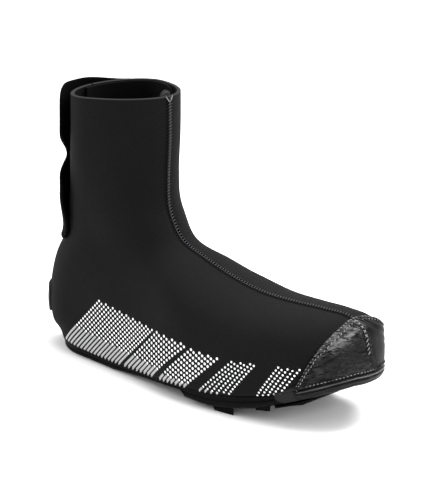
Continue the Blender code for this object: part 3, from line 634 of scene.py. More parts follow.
# Pressed rubber film on the heel
FILM = grainy("pressed_rubber_film", "#040404", 0.5, 500.0, 0.15, 0.2)
# Rolled edge of the front seam, and the tape behind its top
SEAM = grainy("rolled_nylon_seam", "#222223", 0.7, 800.0, 0.5, 0.12)
# Painted shade: the needle channel beside it and the needle holes, black for their shade
CHANNEL_SHADE = grainy("needle_channel_painted_shade", "#000000", 1.0, 800.0, 0.3, 0.0)
# Nylon sewing thread, slightly glossy, and the ring pressed into the seam tab
THREAD = grainy("nylon_thread", "#38383a", 0.5, 900.0, 0.2, 0.2)
# Painted highlight: the same thread, paler over the glossy coating and at the rim
PALE_THREAD = grainy("nylon_thread_painted_highlight", "#747475", 0.4, 900.0, 0.2, 0.4)
# Screen printed reflective ink: glass beads in a clear binder, near white in studio light
INK = grainy("reflective_ink", "#ededed", 0.5, 1500.0, 0.2, 0.3)
# The same ink laid thin through a fine screen, so that the black below greys it
THIN_INK = grainy("thin_reflective_ink", "#a6a6a6", 0.6, 1500.0, 0.3, 0.2)


# Pieces

def piece(name, points, faces, finishes, stands_for=(), sharp=40.0, marks=None):
    """An object from a surface's points and faces, with doubles merged and faces outward."""
    mesh = bpy.data.meshes.new(name)
    mesh.from_pydata((np.asarray(points).reshape(-1, 3) + SHIFT).tolist(), [], faces.tolist())
    for one in finishes:
        mesh.materials.append(one)
    if marks is not None:
        mesh.polygons.foreach_set("material_index", marks)
    work = bmesh.new()
    work.from_mesh(mesh)
    bmesh.ops.remove_doubles(work, verts=work.verts, dist=1e-6)
    bmesh.ops.recalc_face_normals(work, faces=work.faces)
    work.to_mesh(mesh)
    work.free()
    mesh.shade_smooth()
    mesh.set_sharp_from_angle(angle=math.radians(sharp))
    made = bpy.data.objects.new(name, mesh)
    bpy.context.scene.collection.objects.link(made)
    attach(made, "root")
    if stands_for:
        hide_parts(*stands_for)
    return made


def quads(rows, columns, rows_round=False, columns_round=False):
    """Faces over a grid of points numbered row by row; a way that goes round is closed."""
    i, j = np.meshgrid(np.arange(rows - 1 + int(rows_round)),
                       np.arange(columns - 1 + int(columns_round)), indexing="ij")
    below, after = (i + 1) % rows * columns, (j + 1) % columns
    return np.stack([i * columns + j, i * columns + after, below + after, below + j],
                    axis=-1).reshape(-1, 4)


def wall_faces(rows, columns, open_from=0):
    """Faces of a closed sheet whose points are a loop of rows: out along one skin and back
    along the other, with its two end columns closed from a row on."""
    skin = quads(2 * rows, columns, rows_round=True)
    k = np.arange(open_from, rows - 1)
    back = 2 * rows - 1 - k
    near = np.stack([k, k + 1, back - 1, back], axis=-1) * columns
    return np.concatenate([skin, near, near[:, ::-1] + columns - 1])


def sheet(near, far):
    """Points and faces of a closed sheet between two grids of points."""
    points = np.concatenate([near, far[::-1]])
    return points, wall_faces(*near.shape[:2])


def column_marks(faces, columns, chosen):
    """1 for each face whose leftmost column is chosen, else 0."""
    return np.where(chosen[np.minimum((faces % columns).min(axis=1), columns - 2)], 1, 0)


def threads(name, finished, start, end, up, radius=THREAD_RADIUS, arch=0.5):
    """A piece of short stitches: six-sided tubes from start to end, arched out of the cloth.

    Ring k lies at the share s of the way, sqrt(1 - (2s - 1)^2) thick, lifted by the arch.
    """
    s = np.array([0.0, 0.12, 0.35, 0.65, 0.88, 1.0])
    thick = np.sqrt(np.clip(1.02 - (2 * s - 1)**2, 0.04, 1.0))
    side = unit(np.cross(up, unit(end - start)))
    angle = np.arange(6) * math.pi / 3
    middle = start[:, None] + (end - start)[:, None] * s[None, :, None]
    middle = middle + up[:, None] * (radius * arch * (2 * thick - 1))[None, :, None]
    circle = (np.cos(angle)[:, None] * side[:, None, None, :]
              + np.sin(angle)[:, None] * up[:, None, None, :])
    points = middle[:, :, None] + circle * (radius * thick)[None, :, None, None]
    rings, sides = len(s), len(angle)
    body = quads(rings, sides, columns_round=True)
    caps = np.array([[0, 1, 2, 3], [0, 3, 4, 5]])
    faces = np.concatenate([body, caps, caps[:, ::-1] + (rings - 1) * sides])
    first = np.arange(len(start))[:, None, None] * rings * sides
    piece(name, points, (faces[None] + first).reshape(-1, 4), [finished], sharp=60.0)


def stitch_places(path, values, first, spare, pitch, reach):
    """Values at the start and the end of each stitch: the first one at a place along the
    path, the others a pitch apart, none in the spare end, each as long as its reach."""
    places = np.arange(first, path[-1] - spare, pitch)
    return np.interp(places, path, values), np.interp(places + reach, path, values)


def upper():
    """The foam rubber wall: outer and inner skin, a rounded cut edge and the slit.

    Columns run from one edge of the slit round the foot to its other edge: u = half + s +
    j (around - 2 s) / around, where s is half the slit's width in columns.
    """
    rows = np.arange(ROWS)
    heights = POINTS[:, HALF, 2]
    spacing = np.linalg.norm(POINTS[:, HALF] - POINTS[:, HALF - 1], axis=-1)
    half_slit = np.where(heights > SLIT_BOTTOM, SLIT_WIDTH / 2 / spacing, 0.0)
    first_open = int(np.argmax(half_slit > 0.0))
    j = np.arange(AROUND + 1)
    u = HALF + half_slit[:, None] + j * (AROUND - 2 * half_slit[:, None]) / AROUND
    v = np.broadcast_to(rows[:, None], u.shape)
    outer = lay(u, v, 0.0)
    inner = lay(u, v, -WALL)
    rim_out = outer[-1] * 0.82 + inner[-1] * 0.18
    rim_in = outer[-1] * 0.18 + inner[-1] * 0.82
    rise = np.array([0.0, 0.0, 0.00022])
    outer[-1] -= rise
    inner[-1] -= rise
    loop = np.concatenate([outer, [rim_out + rise, rim_in + rise], inner[::-1]])
    faces = wall_faces(ROWS + 1, AROUND + 1, first_open - 1)
    row = faces.min(axis=1) // (AROUND + 1)
    marks = np.where(row >= ROWS + 1, 1, 0)
    marks[(row >= ROWS - 1) & (row <= ROWS + 1)] = 2
    marks[(row == 0) & (faces.max(axis=1) // (AROUND + 1) > ROWS)] = 2
    piece("upper_skin", loop, faces, [NEOPRENE, LINING, CUT_EDGE], ["upper"], 50.0, marks)


def cap_edge_at(z):
    """Distance of the cap's rear edge from the heel back at a height."""
    edge = smooth_path([(a * LENGTH, h * TOE_HEIGHT) for a, h in CAP_EDGE], 60)[::-1]
    return np.interp(z, edge[:, 1], edge[:, 0])


def cap_top(u):
    """Row at which a column runs over the cap's rear edge."""
    points = read_grid(POINTS, np.asarray(u, float)[..., None], np.arange(ROWS))
    return crossing(cap_edge_at(points[..., 2]) - points[..., 0], np.zeros(np.shape(u)))


def cap_side(side):
    """Column at which the cap's edge meets the sole edge on one side."""
    columns = np.arange(0.0, HALF, 0.25) * side
    points = read_grid(POINTS, columns, 0.0)
    return columns[np.argmax(cap_edge_at(points[:, 2]) > points[:, 0])]


def toe_cap():
    """Coated cap: columns from corner to corner, rows from the rand to the rear edge.

    Its rear hem is a raised fold, puckered by its stitches: 0.42 mm + 0.46 mm sin over
    3.4 mm. Its lower hem is 0.3 mm + 0.3 mm sin over 2.9 mm. At the nose the inner half
    laps over the outer one: a step of 0.5 mm, smooth over 1.2 mm, with a valley beside it.
    """
    ends = cap_side(1), cap_side(-1)
    t = np.linspace(-1.0, 1.0, 341)
    t = 0.55 * t + 0.45 * t**3
    u = np.where(t < 0, -t * ends[1], t * ends[0])[None, :]
    t = 1.0 - (1.0 - np.linspace(0.0, 1.0, 110)[:, None])**1.35
    bottom = row_of_level(GAP)
    v = bottom + (cap_top(u[0])[None, :] - bottom) * t
    base = read_grid(POINTS, u, v)
    from_edge = base[..., 0] - cap_edge_at(base[..., 2])
    fold = bell(from_edge, 0.0030, 0.0034)
    along = base[..., 2] + 0.6 * np.abs(base[..., 1])
    pucker = wave(along, 0.0034, 1.5 * np.sin(along * 900.0))
    ruck = bell(from_edge, 0.0085, 0.0055) * wave(along, 0.0061, 1.2)
    off = base[..., 1] - centre(base[..., 0]) + 0.0024 * smooth((base[..., 2] - 0.045) / 0.010)
    lap = smooth((off + 0.0006) / 0.0012) * (1.0 - smooth((off - 0.004) / 0.010))
    valley = bell(off, -0.0012, 0.0009)
    level = slice_level(base[..., 0], base[..., 2])
    round_toe = base[..., 1] * 1.1 + np.abs(base[..., 0] - LENGTH)
    hem = bell(level, 0.0016, 0.0012)
    out = GAP + CAP_THICKNESS + fold * (0.00042 + 0.00046 * pucker) + 0.00022 * ruck
    out = out + hem * (0.0003 + 0.0003 * wave(round_toe, 0.0029))
    out = out + 0.0005 * lap - 0.00025 * valley
    points, faces = sheet(lay(u, v, GAP), lay(u, v, out))
    marks = column_marks(faces, u.shape[1], u[0] < -0.6)
    skin = piece("toe_cap_skin", points, faces, [COATED, SMOOTH_COATED], ["toe_cap"],
                 60.0, marks)
    painted_highlight(skin)
    return ends


def painted_highlight(skin):
    """Share of painted highlight at each point of the cap: a patch 8 mm inside the rear hem and
    the hem itself on the outer side, fading downward, and a little over the cap below 46 mm."""
    place = np.empty(3 * len(skin.data.vertices))
    skin.data.vertices.foreach_get("co", place)
    place = place.reshape(-1, 3) - SHIFT
    height = place[:, 2]
    from_edge = place[:, 0] - cap_edge_at(height)
    outer = 1.0 - smooth((place[:, 1] - centre(place[:, 0]) + 0.003) / 0.004)
    patch = bell(from_edge, 0.0080, 0.0036) * smooth((height - 0.054) / 0.009)
    patch *= 1.0 - smooth((height - 0.0695) / 0.004)
    hem = 0.60 * bell(from_edge, 0.0025, 0.0030) * smooth((height - 0.040) / 0.022)
    low = 0.10 * (1.0 - smooth((height - 0.046) / 0.008))
    share = np.clip(patch + hem, 0.0, 1.0) * outer + low
    skin.data.attributes.new("painted_highlight", "FLOAT", "POINT").data.foreach_set("value", share)


def cap_threads(ends):
    """Two rows of stitches along the cap's fold, slanted against each other, one row down
    its nose, crossed by a second in the upper half, and one along its lower edge."""
    parts = []
    for offset, lean in ((0.0011, 0.55), (0.0044, -0.55)):
        u = np.linspace(ends[0] * 0.97, ends[1] * 0.97, 900)
        v = cap_top(u)
        base = read_grid(POINTS, u, v)
        path = lengths(base)
        places = np.arange(0.0015, path[-1] - 0.001, 0.0030)
        u0 = np.interp(places, path, u)
        v0 = np.interp(places, path, v)
        here = read_grid(POINTS, u0, v0)
        grow = np.linalg.norm(here - read_grid(POINTS, u0, v0 - 1.0), axis=-1)
        forward = np.linalg.norm(read_grid(POINTS, u0 + 1.0, v0) - here, axis=-1)
        steep = np.clip(grow / 0.0016, 0.2, 1.0)
        both = []
        for shift, way in ((-0.0009 * lean, 0.12), (0.0009 * lean, 0.62)):
            row = np.stack([u0 - np.sign(u0) * (offset + shift) / forward * (1.0 - steep),
                            v0 - (offset + shift) / grow * steep])
            both.append(row[:, :-1] * (1.0 - way) + row[:, 1:] * way)
        first, second = both
        lift = GAP + CAP_THICKNESS + 0.00045
        parts.append((lay(*first, lift), lay(*second, lift), way_out(*first)))
    v = np.linspace(row_of_level(0.012), float(cap_top(np.array([0.0]))[0]) - 0.4, 300)
    path = lengths(read_grid(POINTS, np.zeros(300), v))
    low, high = stitch_places(path, v, 0.001, 0.002, 0.0031, 0.0019)
    lift = GAP + CAP_THICKNESS + 0.00055
    for from_middle, to_middle, skipped in ((0.0038, 0.0014, 0), (0.0014, 0.0038, len(low) // 2)):
        left = seam_columns(low, from_middle)[0]
        right = seam_columns(high, to_middle)[0]
        group = lay(left, low, lift), lay(right, high, lift), way_out(left, low)
        parts.append([one[skipped:] for one in group])
    u = np.linspace(ends[0] * 0.93, ends[1] * 0.93, 700)
    v = np.full(700, row_of_level(0.0012))
    u0, u1 = stitch_places(lengths(read_grid(POINTS, u, v)), u, 0.0, 0.002, 0.0027, 0.0016)
    v0 = v[:len(u0)]
    lift = GAP + CAP_THICKNESS + 0.0001
    parts.append((lay(u0, v0, lift), lay(u1, v0, lift), way_out(u0, v0)))
    start, end, up = (np.concatenate(group) for group in zip(*parts))
    threads("cap_threads", PALE_THREAD, start, end, up)


def seam_columns(v, distance):
    """Columns at which the form is a distance to the outer and the inner side of the front
    seam's middle, which leans 1.8 mm to the outer side on the shaft."""
    v = np.asarray(v, float)
    height = read_grid(POINTS, 0.0 * v, v)[..., 2]
    lean = SEAM_LEAN * smooth((height - 0.10) / 0.05)
    both = []
    for side in (1, -1):
        far = distance + side * lean
        points = read_grid(POINTS, np.arange(0, 60) * side, v[..., None])
        off = side * (centre(points[..., 0]) - points[..., 1])
        both.append(side * np.where(far > 0, crossing(off, np.abs(far)), 0.0))
    return both


def front_seam():
    """Seam down the shaft and the instep: a rolled edge on the outer side, 0.6 mm over its
    band and rippled by its stitches, and beside it on the inner side a needle channel painted
    black as shade. Slanted stitches cross both, each with a black dab of painted shade for its
    needle hole before it, and two stitches meet in a point below the collar's rim."""
    edge = float(cap_top(np.array([0.0]))[0])
    v = np.linspace(edge + 0.3, LAST, 560)
    outer, inner = seam_columns(v, SEAM_WIDTH / 2)
    s = np.linspace(-1.0, 1.0, 26)
    u = np.where(s < 0, -s[None] * outer[:, None], s[None] * inner[:, None])
    path = lengths(lay(0.0 * v, v))[:, None]
    roll = np.exp(-((s + 0.26) / 0.26)**4)
    welt = 0.45 * bell(s, 0.88, 0.14)
    ripple = 1.0 + 0.22 * wave(path, SEAM_PITCH)
    out = GAP + 0.00010 + SEAM_ROLL * (roll[None] * ripple + welt[None])
    points, faces = sheet(lay(u, v[:, None], GAP), lay(u, v[:, None], out))
    marks = column_marks(faces, len(s), (s > -0.52) & (s < -0.04))
    marks += 2 * column_marks(faces, len(s), (s > -0.04) & (s < 0.72))
    piece("front_seam_band", points, faces, [NEOPRENE, SEAM, CHANNEL_SHADE],
          ["front_seam"], 60.0, marks)
    path = path[:, 0]
    here, later = stitch_places(path, v, 0.001, 0.003, SEAM_PITCH, 0.0009)
    near = seam_columns(here, SEAM_WIDTH * 0.22)[0]
    far = seam_columns(later, SEAM_WIDTH * 0.46)[1]
    lift = GAP + SEAM_THICKNESS * 0.75
    start, end = lay(near, here, lift), lay(far, later, lift * 0.9)
    up = way_out(0.0 * here, here)
    threads("front_seam_threads", THREAD, start, end, up)
    # Painted shade: black tubes for the shade in the needle holes
    _, later = stitch_places(path, v, 0.001, 0.003, SEAM_PITCH, 0.0011)
    hole = seam_columns(here, SEAM_WIDTH * 0.34)[0]
    next_to = seam_columns(later, SEAM_WIDTH * 0.30)[0]
    start, end = lay(hole, here, GAP + 0.0004), lay(next_to, later, GAP + 0.0004)
    threads("front_seam_hole_shade", CHANNEL_SHADE, start, end, up, WIDE_THREAD, 0.0)
    rim = POINTS[-1, 0]
    high = rim + np.array([[0.0004, side * 0.0034 - SEAM_LEAN, 0.0005] for side in (-1.0, 1.0)])
    foot = rim + np.array([[0.0008, -SEAM_LEAN, -0.0042]] * 2)
    forward = np.array([[1.0, 0.0, 0.0]] * 2)
    threads("rim_threads", PALE_THREAD, high, foot, forward, WIDE_THREAD)


def sole_sides(stations, out):
    """Outer and inner edge of the sole at stations along it, moved out from the form."""
    widths = half_widths(np.zeros_like(stations), stations, feather(stations))
    sides = []
    for side, sign in ((0, -1.0), (1, 1.0)):
        edge = np.column_stack([stations, centre(stations) + sign * widths[side]])
        run = unit(np.gradient(edge, axis=0))
        away = sign * np.column_stack([-run[:, 1], run[:, 0]])
        share = stations / LENGTH
        away[:, 0] *= 1.0 - smooth((share - 0.10) / 0.08) + smooth((share - 0.88) / 0.05)
        sides.append(edge + np.reshape(out, (-1, 1)) * away)
    return sides


def sole_loop(outer, inner, height):
    """Points forward along the outer edge of the sole and back along the inner one."""
    return np.concatenate([np.column_stack([outer, height]),
                           np.column_stack([inner, height])[::-1]])


def sole_rings(stations, top, bottom, round_end):
    """Rings down the side of the sole: its edge in plan, moved in by its side profile, and
    drawn toward its middle at the front end."""
    rings = []
    for depth, inset in fine_profile(BAND_PROFILE, 24):
        outer, inner = sole_sides(stations, -BAND_INSET - inset * BAND_STEP)
        middle = (outer[:, 1] + inner[:, 1]) / 2
        for edge in (outer, inner):
            edge[:, 1] = middle + (edge[:, 1] - middle) * round_end
        rings.append(sole_loop(outer, inner, top + (bottom - top) * depth))
    return np.array(rings)


def ring_faces(rows, around):
    """Faces of a solid through rings, its two ends closed by strips across."""
    side = quads(rows, around, columns_round=True)
    j = np.arange(around // 2 - 1)
    k = around - 1 - j
    top = np.stack([j + 1, j, k, k - 1], axis=-1)
    last = (rows - 1) * around
    bottom = np.stack([last + j, last + j + 1, last + k - 1, last + k], axis=-1)
    return np.concatenate([side, top, bottom])


def fine_profile(table, count):
    """A side profile read at more depths, eased between its rows."""
    rows = np.array(table)
    depth = np.unique(np.concatenate([rows[:, 0], np.linspace(0.0, 1.0, count)]))
    return np.column_stack([depth, np.interp(depth, rows[:, 0], rows[:, 1])])


def underside(x):
    """Height of the sole's underside between the lugs."""
    rows = np.array(UNDERSIDE)
    return HEEL_RUBBER * np.interp(x / LENGTH, rows[:, 0], rows[:, 1])


def outsole():
    """Rubber sole: band, arch and tread from rings down its side, with the cleat hole cut.

    Its front end thins out: sqrt(1 - 0.8 s^2.5) of its width over the last 10 mm.
    """
    heel = BACK_START * LENGTH + BAND_INSET
    turn = heel + 0.10 * LENGTH * np.linspace(0.0, 1.0, 26)[:-1]**2
    steps = [row[0] * LENGTH for row in UNDERSIDE if row[0] > 0.25]
    steps += [RAND_START - GAP, RAND_START - 2 * GAP]
    even = np.linspace(0.15 * LENGTH, SOLE_END - END_THIN, 90)
    end = SOLE_END - 0.8 * END_THIN * np.linspace(1.0, 0.0, 14)[1:]**2
    stations = np.unique(np.round(np.concatenate([turn, steps, even, end]), 6))
    stations = stations[np.concatenate([[True], np.diff(stations) > GAP / 2])]
    top = feather(stations) - GAP
    top = np.where(stations > RAND_START - 1.5 * GAP, top - RAND_HEIGHT - GAP, top)
    bottom = np.minimum(underside(stations), top - LEAST_RUBBER)
    near_end = np.clip((stations - SOLE_END + END_ROUND) / END_ROUND, 0.0, 1.0)
    round_end = np.sqrt(1.0 - 0.8 * near_end**2.5)
    rings = sole_rings(stations, top, bottom, round_end)
    sole = piece("outsole_rubber", rings, ring_faces(*rings.shape[:2]), [RUBBER],
                 ["outsole"], 35.0)
    cut_cleat_hole(sole)


def cut_cleat_hole(sole):
    """Cut the opening for the cleat out of the sole: a slot with half round ends."""
    radius = CLEAT_WIDTH / 2
    reach = CLEAT_LENGTH / 2 - radius
    angle = np.linspace(-math.pi / 2, 3 * math.pi / 2, 64, endpoint=False)
    x = CLEAT_CENTRE + np.where(np.cos(angle) >= 0.0, reach, -reach) + radius * np.cos(angle)
    y = float(centre(CLEAT_CENTRE)) + radius * np.sin(angle)
    heights = (-TOE_SPRING, 2 * TOE_SPRING)
    hole = np.array([np.column_stack([x, y, np.full(64, z)]) for z in heights])
    punch = piece("cleat_punch", hole, ring_faces(2, 64), [RUBBER])
    modifier = sole.modifiers.new("cleat_hole", "BOOLEAN")
    modifier.operation = "DIFFERENCE"
    modifier.solver = "EXACT"
    modifier.object = punch
    graph = bpy.context.evaluated_depsgraph_get()
    cut_mesh = bpy.data.meshes.new_from_object(sole.evaluated_get(graph))
    sole.modifiers.clear()
    sole.data = cut_mesh
    bpy.data.objects.remove(punch, do_unlink=True)


def lugs():
    """Lugs under both edges of the sole: blocks with a sloping rear face."""
    solids, start = [], 0
    for rear, front, slope, *low in LUGS:
        for side, sign in ((0, 1.0), (1, -1.0)):
            edge = sole_sides(np.linspace(rear, front, 9) * LENGTH, -LUG_INSET)[side]
            inboard = edge + np.array([-LUG_SKEW, sign]) * LUG_REACH
            foot_height = np.linspace(*low, len(edge)) * HEEL_RUBBER
            outline = np.concatenate([edge, inboard[::-1]])
            heights = np.concatenate([foot_height, foot_height[::-1]])
            under = underside(outline[:, 0])
            roof = np.column_stack([outline, under + LUG_SUNK])
            foot = np.column_stack([outline, heights])
            foot[[0, -1], 0] += slope * (under - heights)[[0, -1]]
            solids.append((np.array([foot, roof]), ring_faces(2, len(outline)) + start))
            start += 2 * len(outline)
    points = np.concatenate([grid.reshape(-1, 3) for grid, _ in solids])
    faces = np.concatenate([one for _, one in solids])
    piece("lugs", points, faces, [RUBBER])


def rand_start(depth):
    """Where the raised rand begins, in front of its tail: its lower corner is rounded."""
    low = np.clip((depth - 0.35) / 0.65, 0.0, 1.0)
    return RAND_START + 0.0125 + 0.011 * (1.0 - np.sqrt(1.0 - 0.96 * low**2))


def toe_rand():
    """Coated strip round the toe: its plan edge carried down the ribbed side profile.

    Behind its rounded end it drops by 0.7 mm to a smooth grey tail. Piping runs 1.6 mm
    below its top, 0.42 mm thick and 0.12 mm more or less along its length; its pale colour
    is a painted highlight along the rib, and it comes 0.16 mm out and in so that the
    highlight breaks up.
    """
    nose = LENGTH - 0.0002
    even = nose - np.linspace(0.0, 1.0, 60)**1.7 * (nose - RAND_START - GAP)
    end = np.linspace(RAND_START + 0.0004, RAND_START + 0.026, 64)
    stations = np.unique(np.round(np.concatenate([even, end]), 6))
    top = feather(stations) - GAP
    bottom = top - RAND_HEIGHT
    rings = []
    for depth, inset in fine_profile(RAND_PROFILE, 34):
        raised = smooth((stations - rand_start(depth)) / 0.0012)
        inset = inset * RIB_HEIGHT if depth > 0.55 else inset * RIB_HEIGHT * raised
        edges = sole_sides(stations, GAP + 0.0002 + (CAP_THICKNESS - 0.0002) * raised - inset)
        rings.append(sole_loop(*edges, top + (bottom - top) * depth))
    rings = np.array(rings)
    faces = ring_faces(*rings.shape[:2])
    middle = rings.reshape(-1, 3)[faces].mean(axis=1)
    depth = (feather(middle[:, 0]) - GAP - middle[:, 2]) / RAND_HEIGHT
    marks = np.where(middle[:, 0] < rand_start(np.clip(depth, 0.0, 1.0)) + 0.0004, 1, 0)
    corner = 0.86 - 0.62 * (1.0 - np.clip((middle[:, 0] - RAND_START) / 0.009, 0.0, 1.0))**2
    marks[(marks == 1) & (depth > corner)] = 2
    piece("toe_rand_skin", rings, faces, [RAND, TAIL, RUBBER], ["toe_rand"], 40.0, marks)
    stations = nose - (nose - RAND_START - 0.0150) * np.linspace(1.0, 0.0, 120)**1.7
    # Painted highlight: the pale piping's lift comes and goes, breaking up its painted highlight
    painted_shine = 0.00016 * wave(stations, 0.0110) * wave(stations, 0.0037)
    edges = sole_sides(stations, GAP + CAP_THICKNESS + 0.00030 + painted_shine)
    path = sole_loop(*edges, feather(stations) - GAP - 0.18 * RAND_HEIGHT)
    run = unit(np.gradient(path, axis=0))
    side = unit(np.cross(run, [0.0, 0.0, 1.0]))
    over = np.cross(side, run)
    angle = (np.arange(8) * math.pi / 4)[None, :, None]
    from_end = np.minimum(np.arange(len(path)), np.arange(len(path))[::-1])
    taper = np.sqrt(np.clip(from_end / 4.0, 0.05, 1.0))
    thick = (0.00042 + 0.00012 * wave(path[:, 0], 0.0170)) * taper
    circle = np.cos(angle) * side[:, None] + np.sin(angle) * over[:, None]
    tube = path[:, None] + circle * thick[:, None, None]
    piece("rand_piping", tube, ring_faces(len(path), 8), [PIPING_HIGHLIGHT], sharp=60.0)


def tail_patches():
    """The tail's thin wedge on the upper's hem, on either side: its top rises along a line
    from the sole edge to the cap's corner."""
    s = np.linspace(0.0, 1.0, 40)
    t = np.linspace(0.0, 1.0, 9)[:, None]
    x = RAND_START - 0.002 + 0.0175 * s
    level = 0.0002 + 0.0034 * s
    for name, side in (("outer_tail", 1), ("inner_tail", -1)):
        v = row_of_level(level[None, :] * t)
        along = read_grid(POINTS, np.arange(HALF + 1) * side, v[..., None])[..., 0]
        u = side * crossing(-along, -np.broadcast_to(x, v.shape))
        edge = np.sqrt(np.clip((1.0 - t) / 0.25, 0.0, 1.0)) * np.clip(s / 0.08, 0.1, 1.0)[None, :]
        points, faces = sheet(lay(u, v, 0.0001), lay(u, v, 0.00015 + 0.0005 * edge))
        piece(name, points, faces, [TAIL], sharp=60.0)


def on_form(around, height, out):
    """Points at distances round from the back line, positive to the outer side, one row for
    each height, moved out along the form's direction."""
    rows = np.interp(height, POINTS[:, HALF, 2], np.arange(ROWS))
    columns = np.arange(AROUND + 1)
    ring = read_grid(POINTS, columns, rows[:, None])
    run = np.array([lengths(row) for row in ring])
    run -= run[:, HALF:HALF + 1]
    u = np.array([np.interp(-far, places, columns) for far, places in zip(around, run)])
    points = lay(u, rows[:, None], out)
    points[..., 2] += np.maximum(height - POINTS[-1, HALF, 2], 0.0)[:, None]
    return points


def closure_flap():
    """Flap over the slit: sewn on the inner side, its two scalloped tabs standing off.

    The upper tab has a wide round corner, the valley below it is long above and short
    below, and its top falls to the collar at the seam. Its edges are rounded over 1.4 mm.
    """
    high = float(BACK[-1, 1]) + FLAP_ABOVE + 0.0015
    notch_height = FLAP_NOTCH - NOTCH_LOWER
    ease = (1.0 - np.cos(math.pi * np.linspace(0.0, 1.0, 60))) / 2
    heights = np.concatenate([FLAP_BOTTOM + (notch_height - FLAP_BOTTOM) * ease,
                              notch_height + (high - notch_height) * ease[1:]])
    low_corner = TAB_CORNER * (1.0 - quarter((heights - FLAP_BOTTOM) / TAB_CORNER))
    top_corner = TOP_CORNER * (1.0 - quarter((high - heights) / TOP_CORNER_HEIGHT))
    from_notch = heights - notch_height
    valley = np.where(from_notch > 0, VALLEY_ABOVE, VALLEY_BELOW)
    notch = TAB_DEPTH * (1.0 - smooth(np.abs(from_notch) / valley))
    share = np.linspace(0.0, 1.0, 70)
    share = share * 0.8 + 0.2 * np.sin(share * math.pi / 2)
    reach = FLAP_REACH - low_corner - top_corner - notch + FLAP_ROOT
    around = -FLAP_ROOT + reach[:, None] * share
    swing = smooth((around + 0.4 * FLAP_ROOT) / (0.4 * FLAP_ROOT + FLAP_REACH))
    settled = smooth((heights - FLAP_BOTTOM) / FLAP_SETTLE)[:, None]
    off = GAP + 0.0002 + FLAP_STAND_OFF * swing * settled
    to_edge = np.minimum((share[-1] - share)[None, :] * 0.07,
                         np.minimum(heights - FLAP_BOTTOM, high - heights)[:, None])
    rounded = quarter(to_edge / FLAP_ROUND)
    near = on_form(around, heights, off + 0.35 * FLAP_THICKNESS * (1.0 - rounded))
    far = on_form(around, heights, off + FLAP_THICKNESS * (0.65 + 0.35 * rounded))
    upper_tab = smooth((heights - notch_height) / (high - notch_height))[:, None]
    fall = FLAP_FALL * upper_tab * (1.0 - smooth(share / 0.75))[None, :]
    for skin in (near, far):
        skin[..., 2] -= fall
    points, faces = sheet(near, far)
    piece("closure_flap_cloth", points, faces, [LOOP_CLOTH], ["closure_flap"], 60.0)


def underlap():
    """Inner layer behind the slit, with a round corner at its free end."""
    top = float(BACK[-1, 1]) - UNDERLAP_DROP
    ease = (1.0 - np.cos(math.pi * np.linspace(0.0, 1.0, 50))) / 2
    heights = UNDERLAP_BOTTOM + (top - UNDERLAP_BOTTOM) * ease
    inside = np.minimum(heights - UNDERLAP_BOTTOM, top - heights) / UNDERLAP_CORNER
    reach = UNDERLAP_LENGTH - UNDERLAP_CORNER * (1.0 - quarter(inside))
    around = UNDERLAP_HOLD - (reach[:, None] + UNDERLAP_HOLD) * np.linspace(0.0, 1.0, 80)
    inward = np.full_like(around, -WALL - GAP)
    points, faces = sheet(on_form(around, heights, inward),
                          on_form(around, heights, inward - UNDERLAP_THICKNESS))
    piece("underlap_cloth", points, faces, [LINING], ["underlap"])
    line = on_form(around, heights, inward - UNDERLAP_THICKNESS - 0.0001)[8:-5, -3]
    path = lengths(line)
    pairs = [stitch_places(path, line[:, i], 0.0, 0.0025, 0.0031, 0.0019) for i in range(3)]
    start, end = np.transpose(pairs, (1, 2, 0))
    into = np.array([COLLAR_MIDDLE, 0.0, 0.0]) - start
    into[:, 2] = 0.0
    threads("underlap_threads", THREAD, start, end, unit(into))


def heel_patch():
    """Pressed film on the heel: a rounded rectangle in the back view, laid on the form."""
    a = np.linspace(-1.0, 1.0, 60)[None, :]
    b = np.linspace(-1.0, 1.0, 36)[:, None]
    squeeze = (1.0 - 0.16 * np.abs(b)**7), (1.0 - 0.10 * np.abs(a)**9)
    y = HEEL_PATCH_WIDTH / 2 * a * squeeze[0]
    middle = (HEEL_PATCH_TOP + HEEL_PATCH_BOTTOM) / 2
    z = middle + (HEEL_PATCH_TOP - HEEL_PATCH_BOTTOM) / 2 * b * squeeze[1]
    u = np.full(y.shape, float(HALF))
    for _ in range(4):
        v = row_of_height(z, u)
        across = read_grid(POINTS, HALF + 70 - np.arange(141), v[..., None])[..., 1]
        u = HALF + 70 - crossing(-across, -y)
    edge = np.minimum(1.0 - np.abs(a), 1.0 - np.abs(b)) / 0.06
    out = GAP + HEEL_PATCH_THICKNESS * (0.35 + 0.65 * quarter(edge))
    points, faces = sheet(lay(u, v, GAP), lay(u, v, out))
    piece("heel_patch_film", points, faces, [FILM], ["heel_patch"])


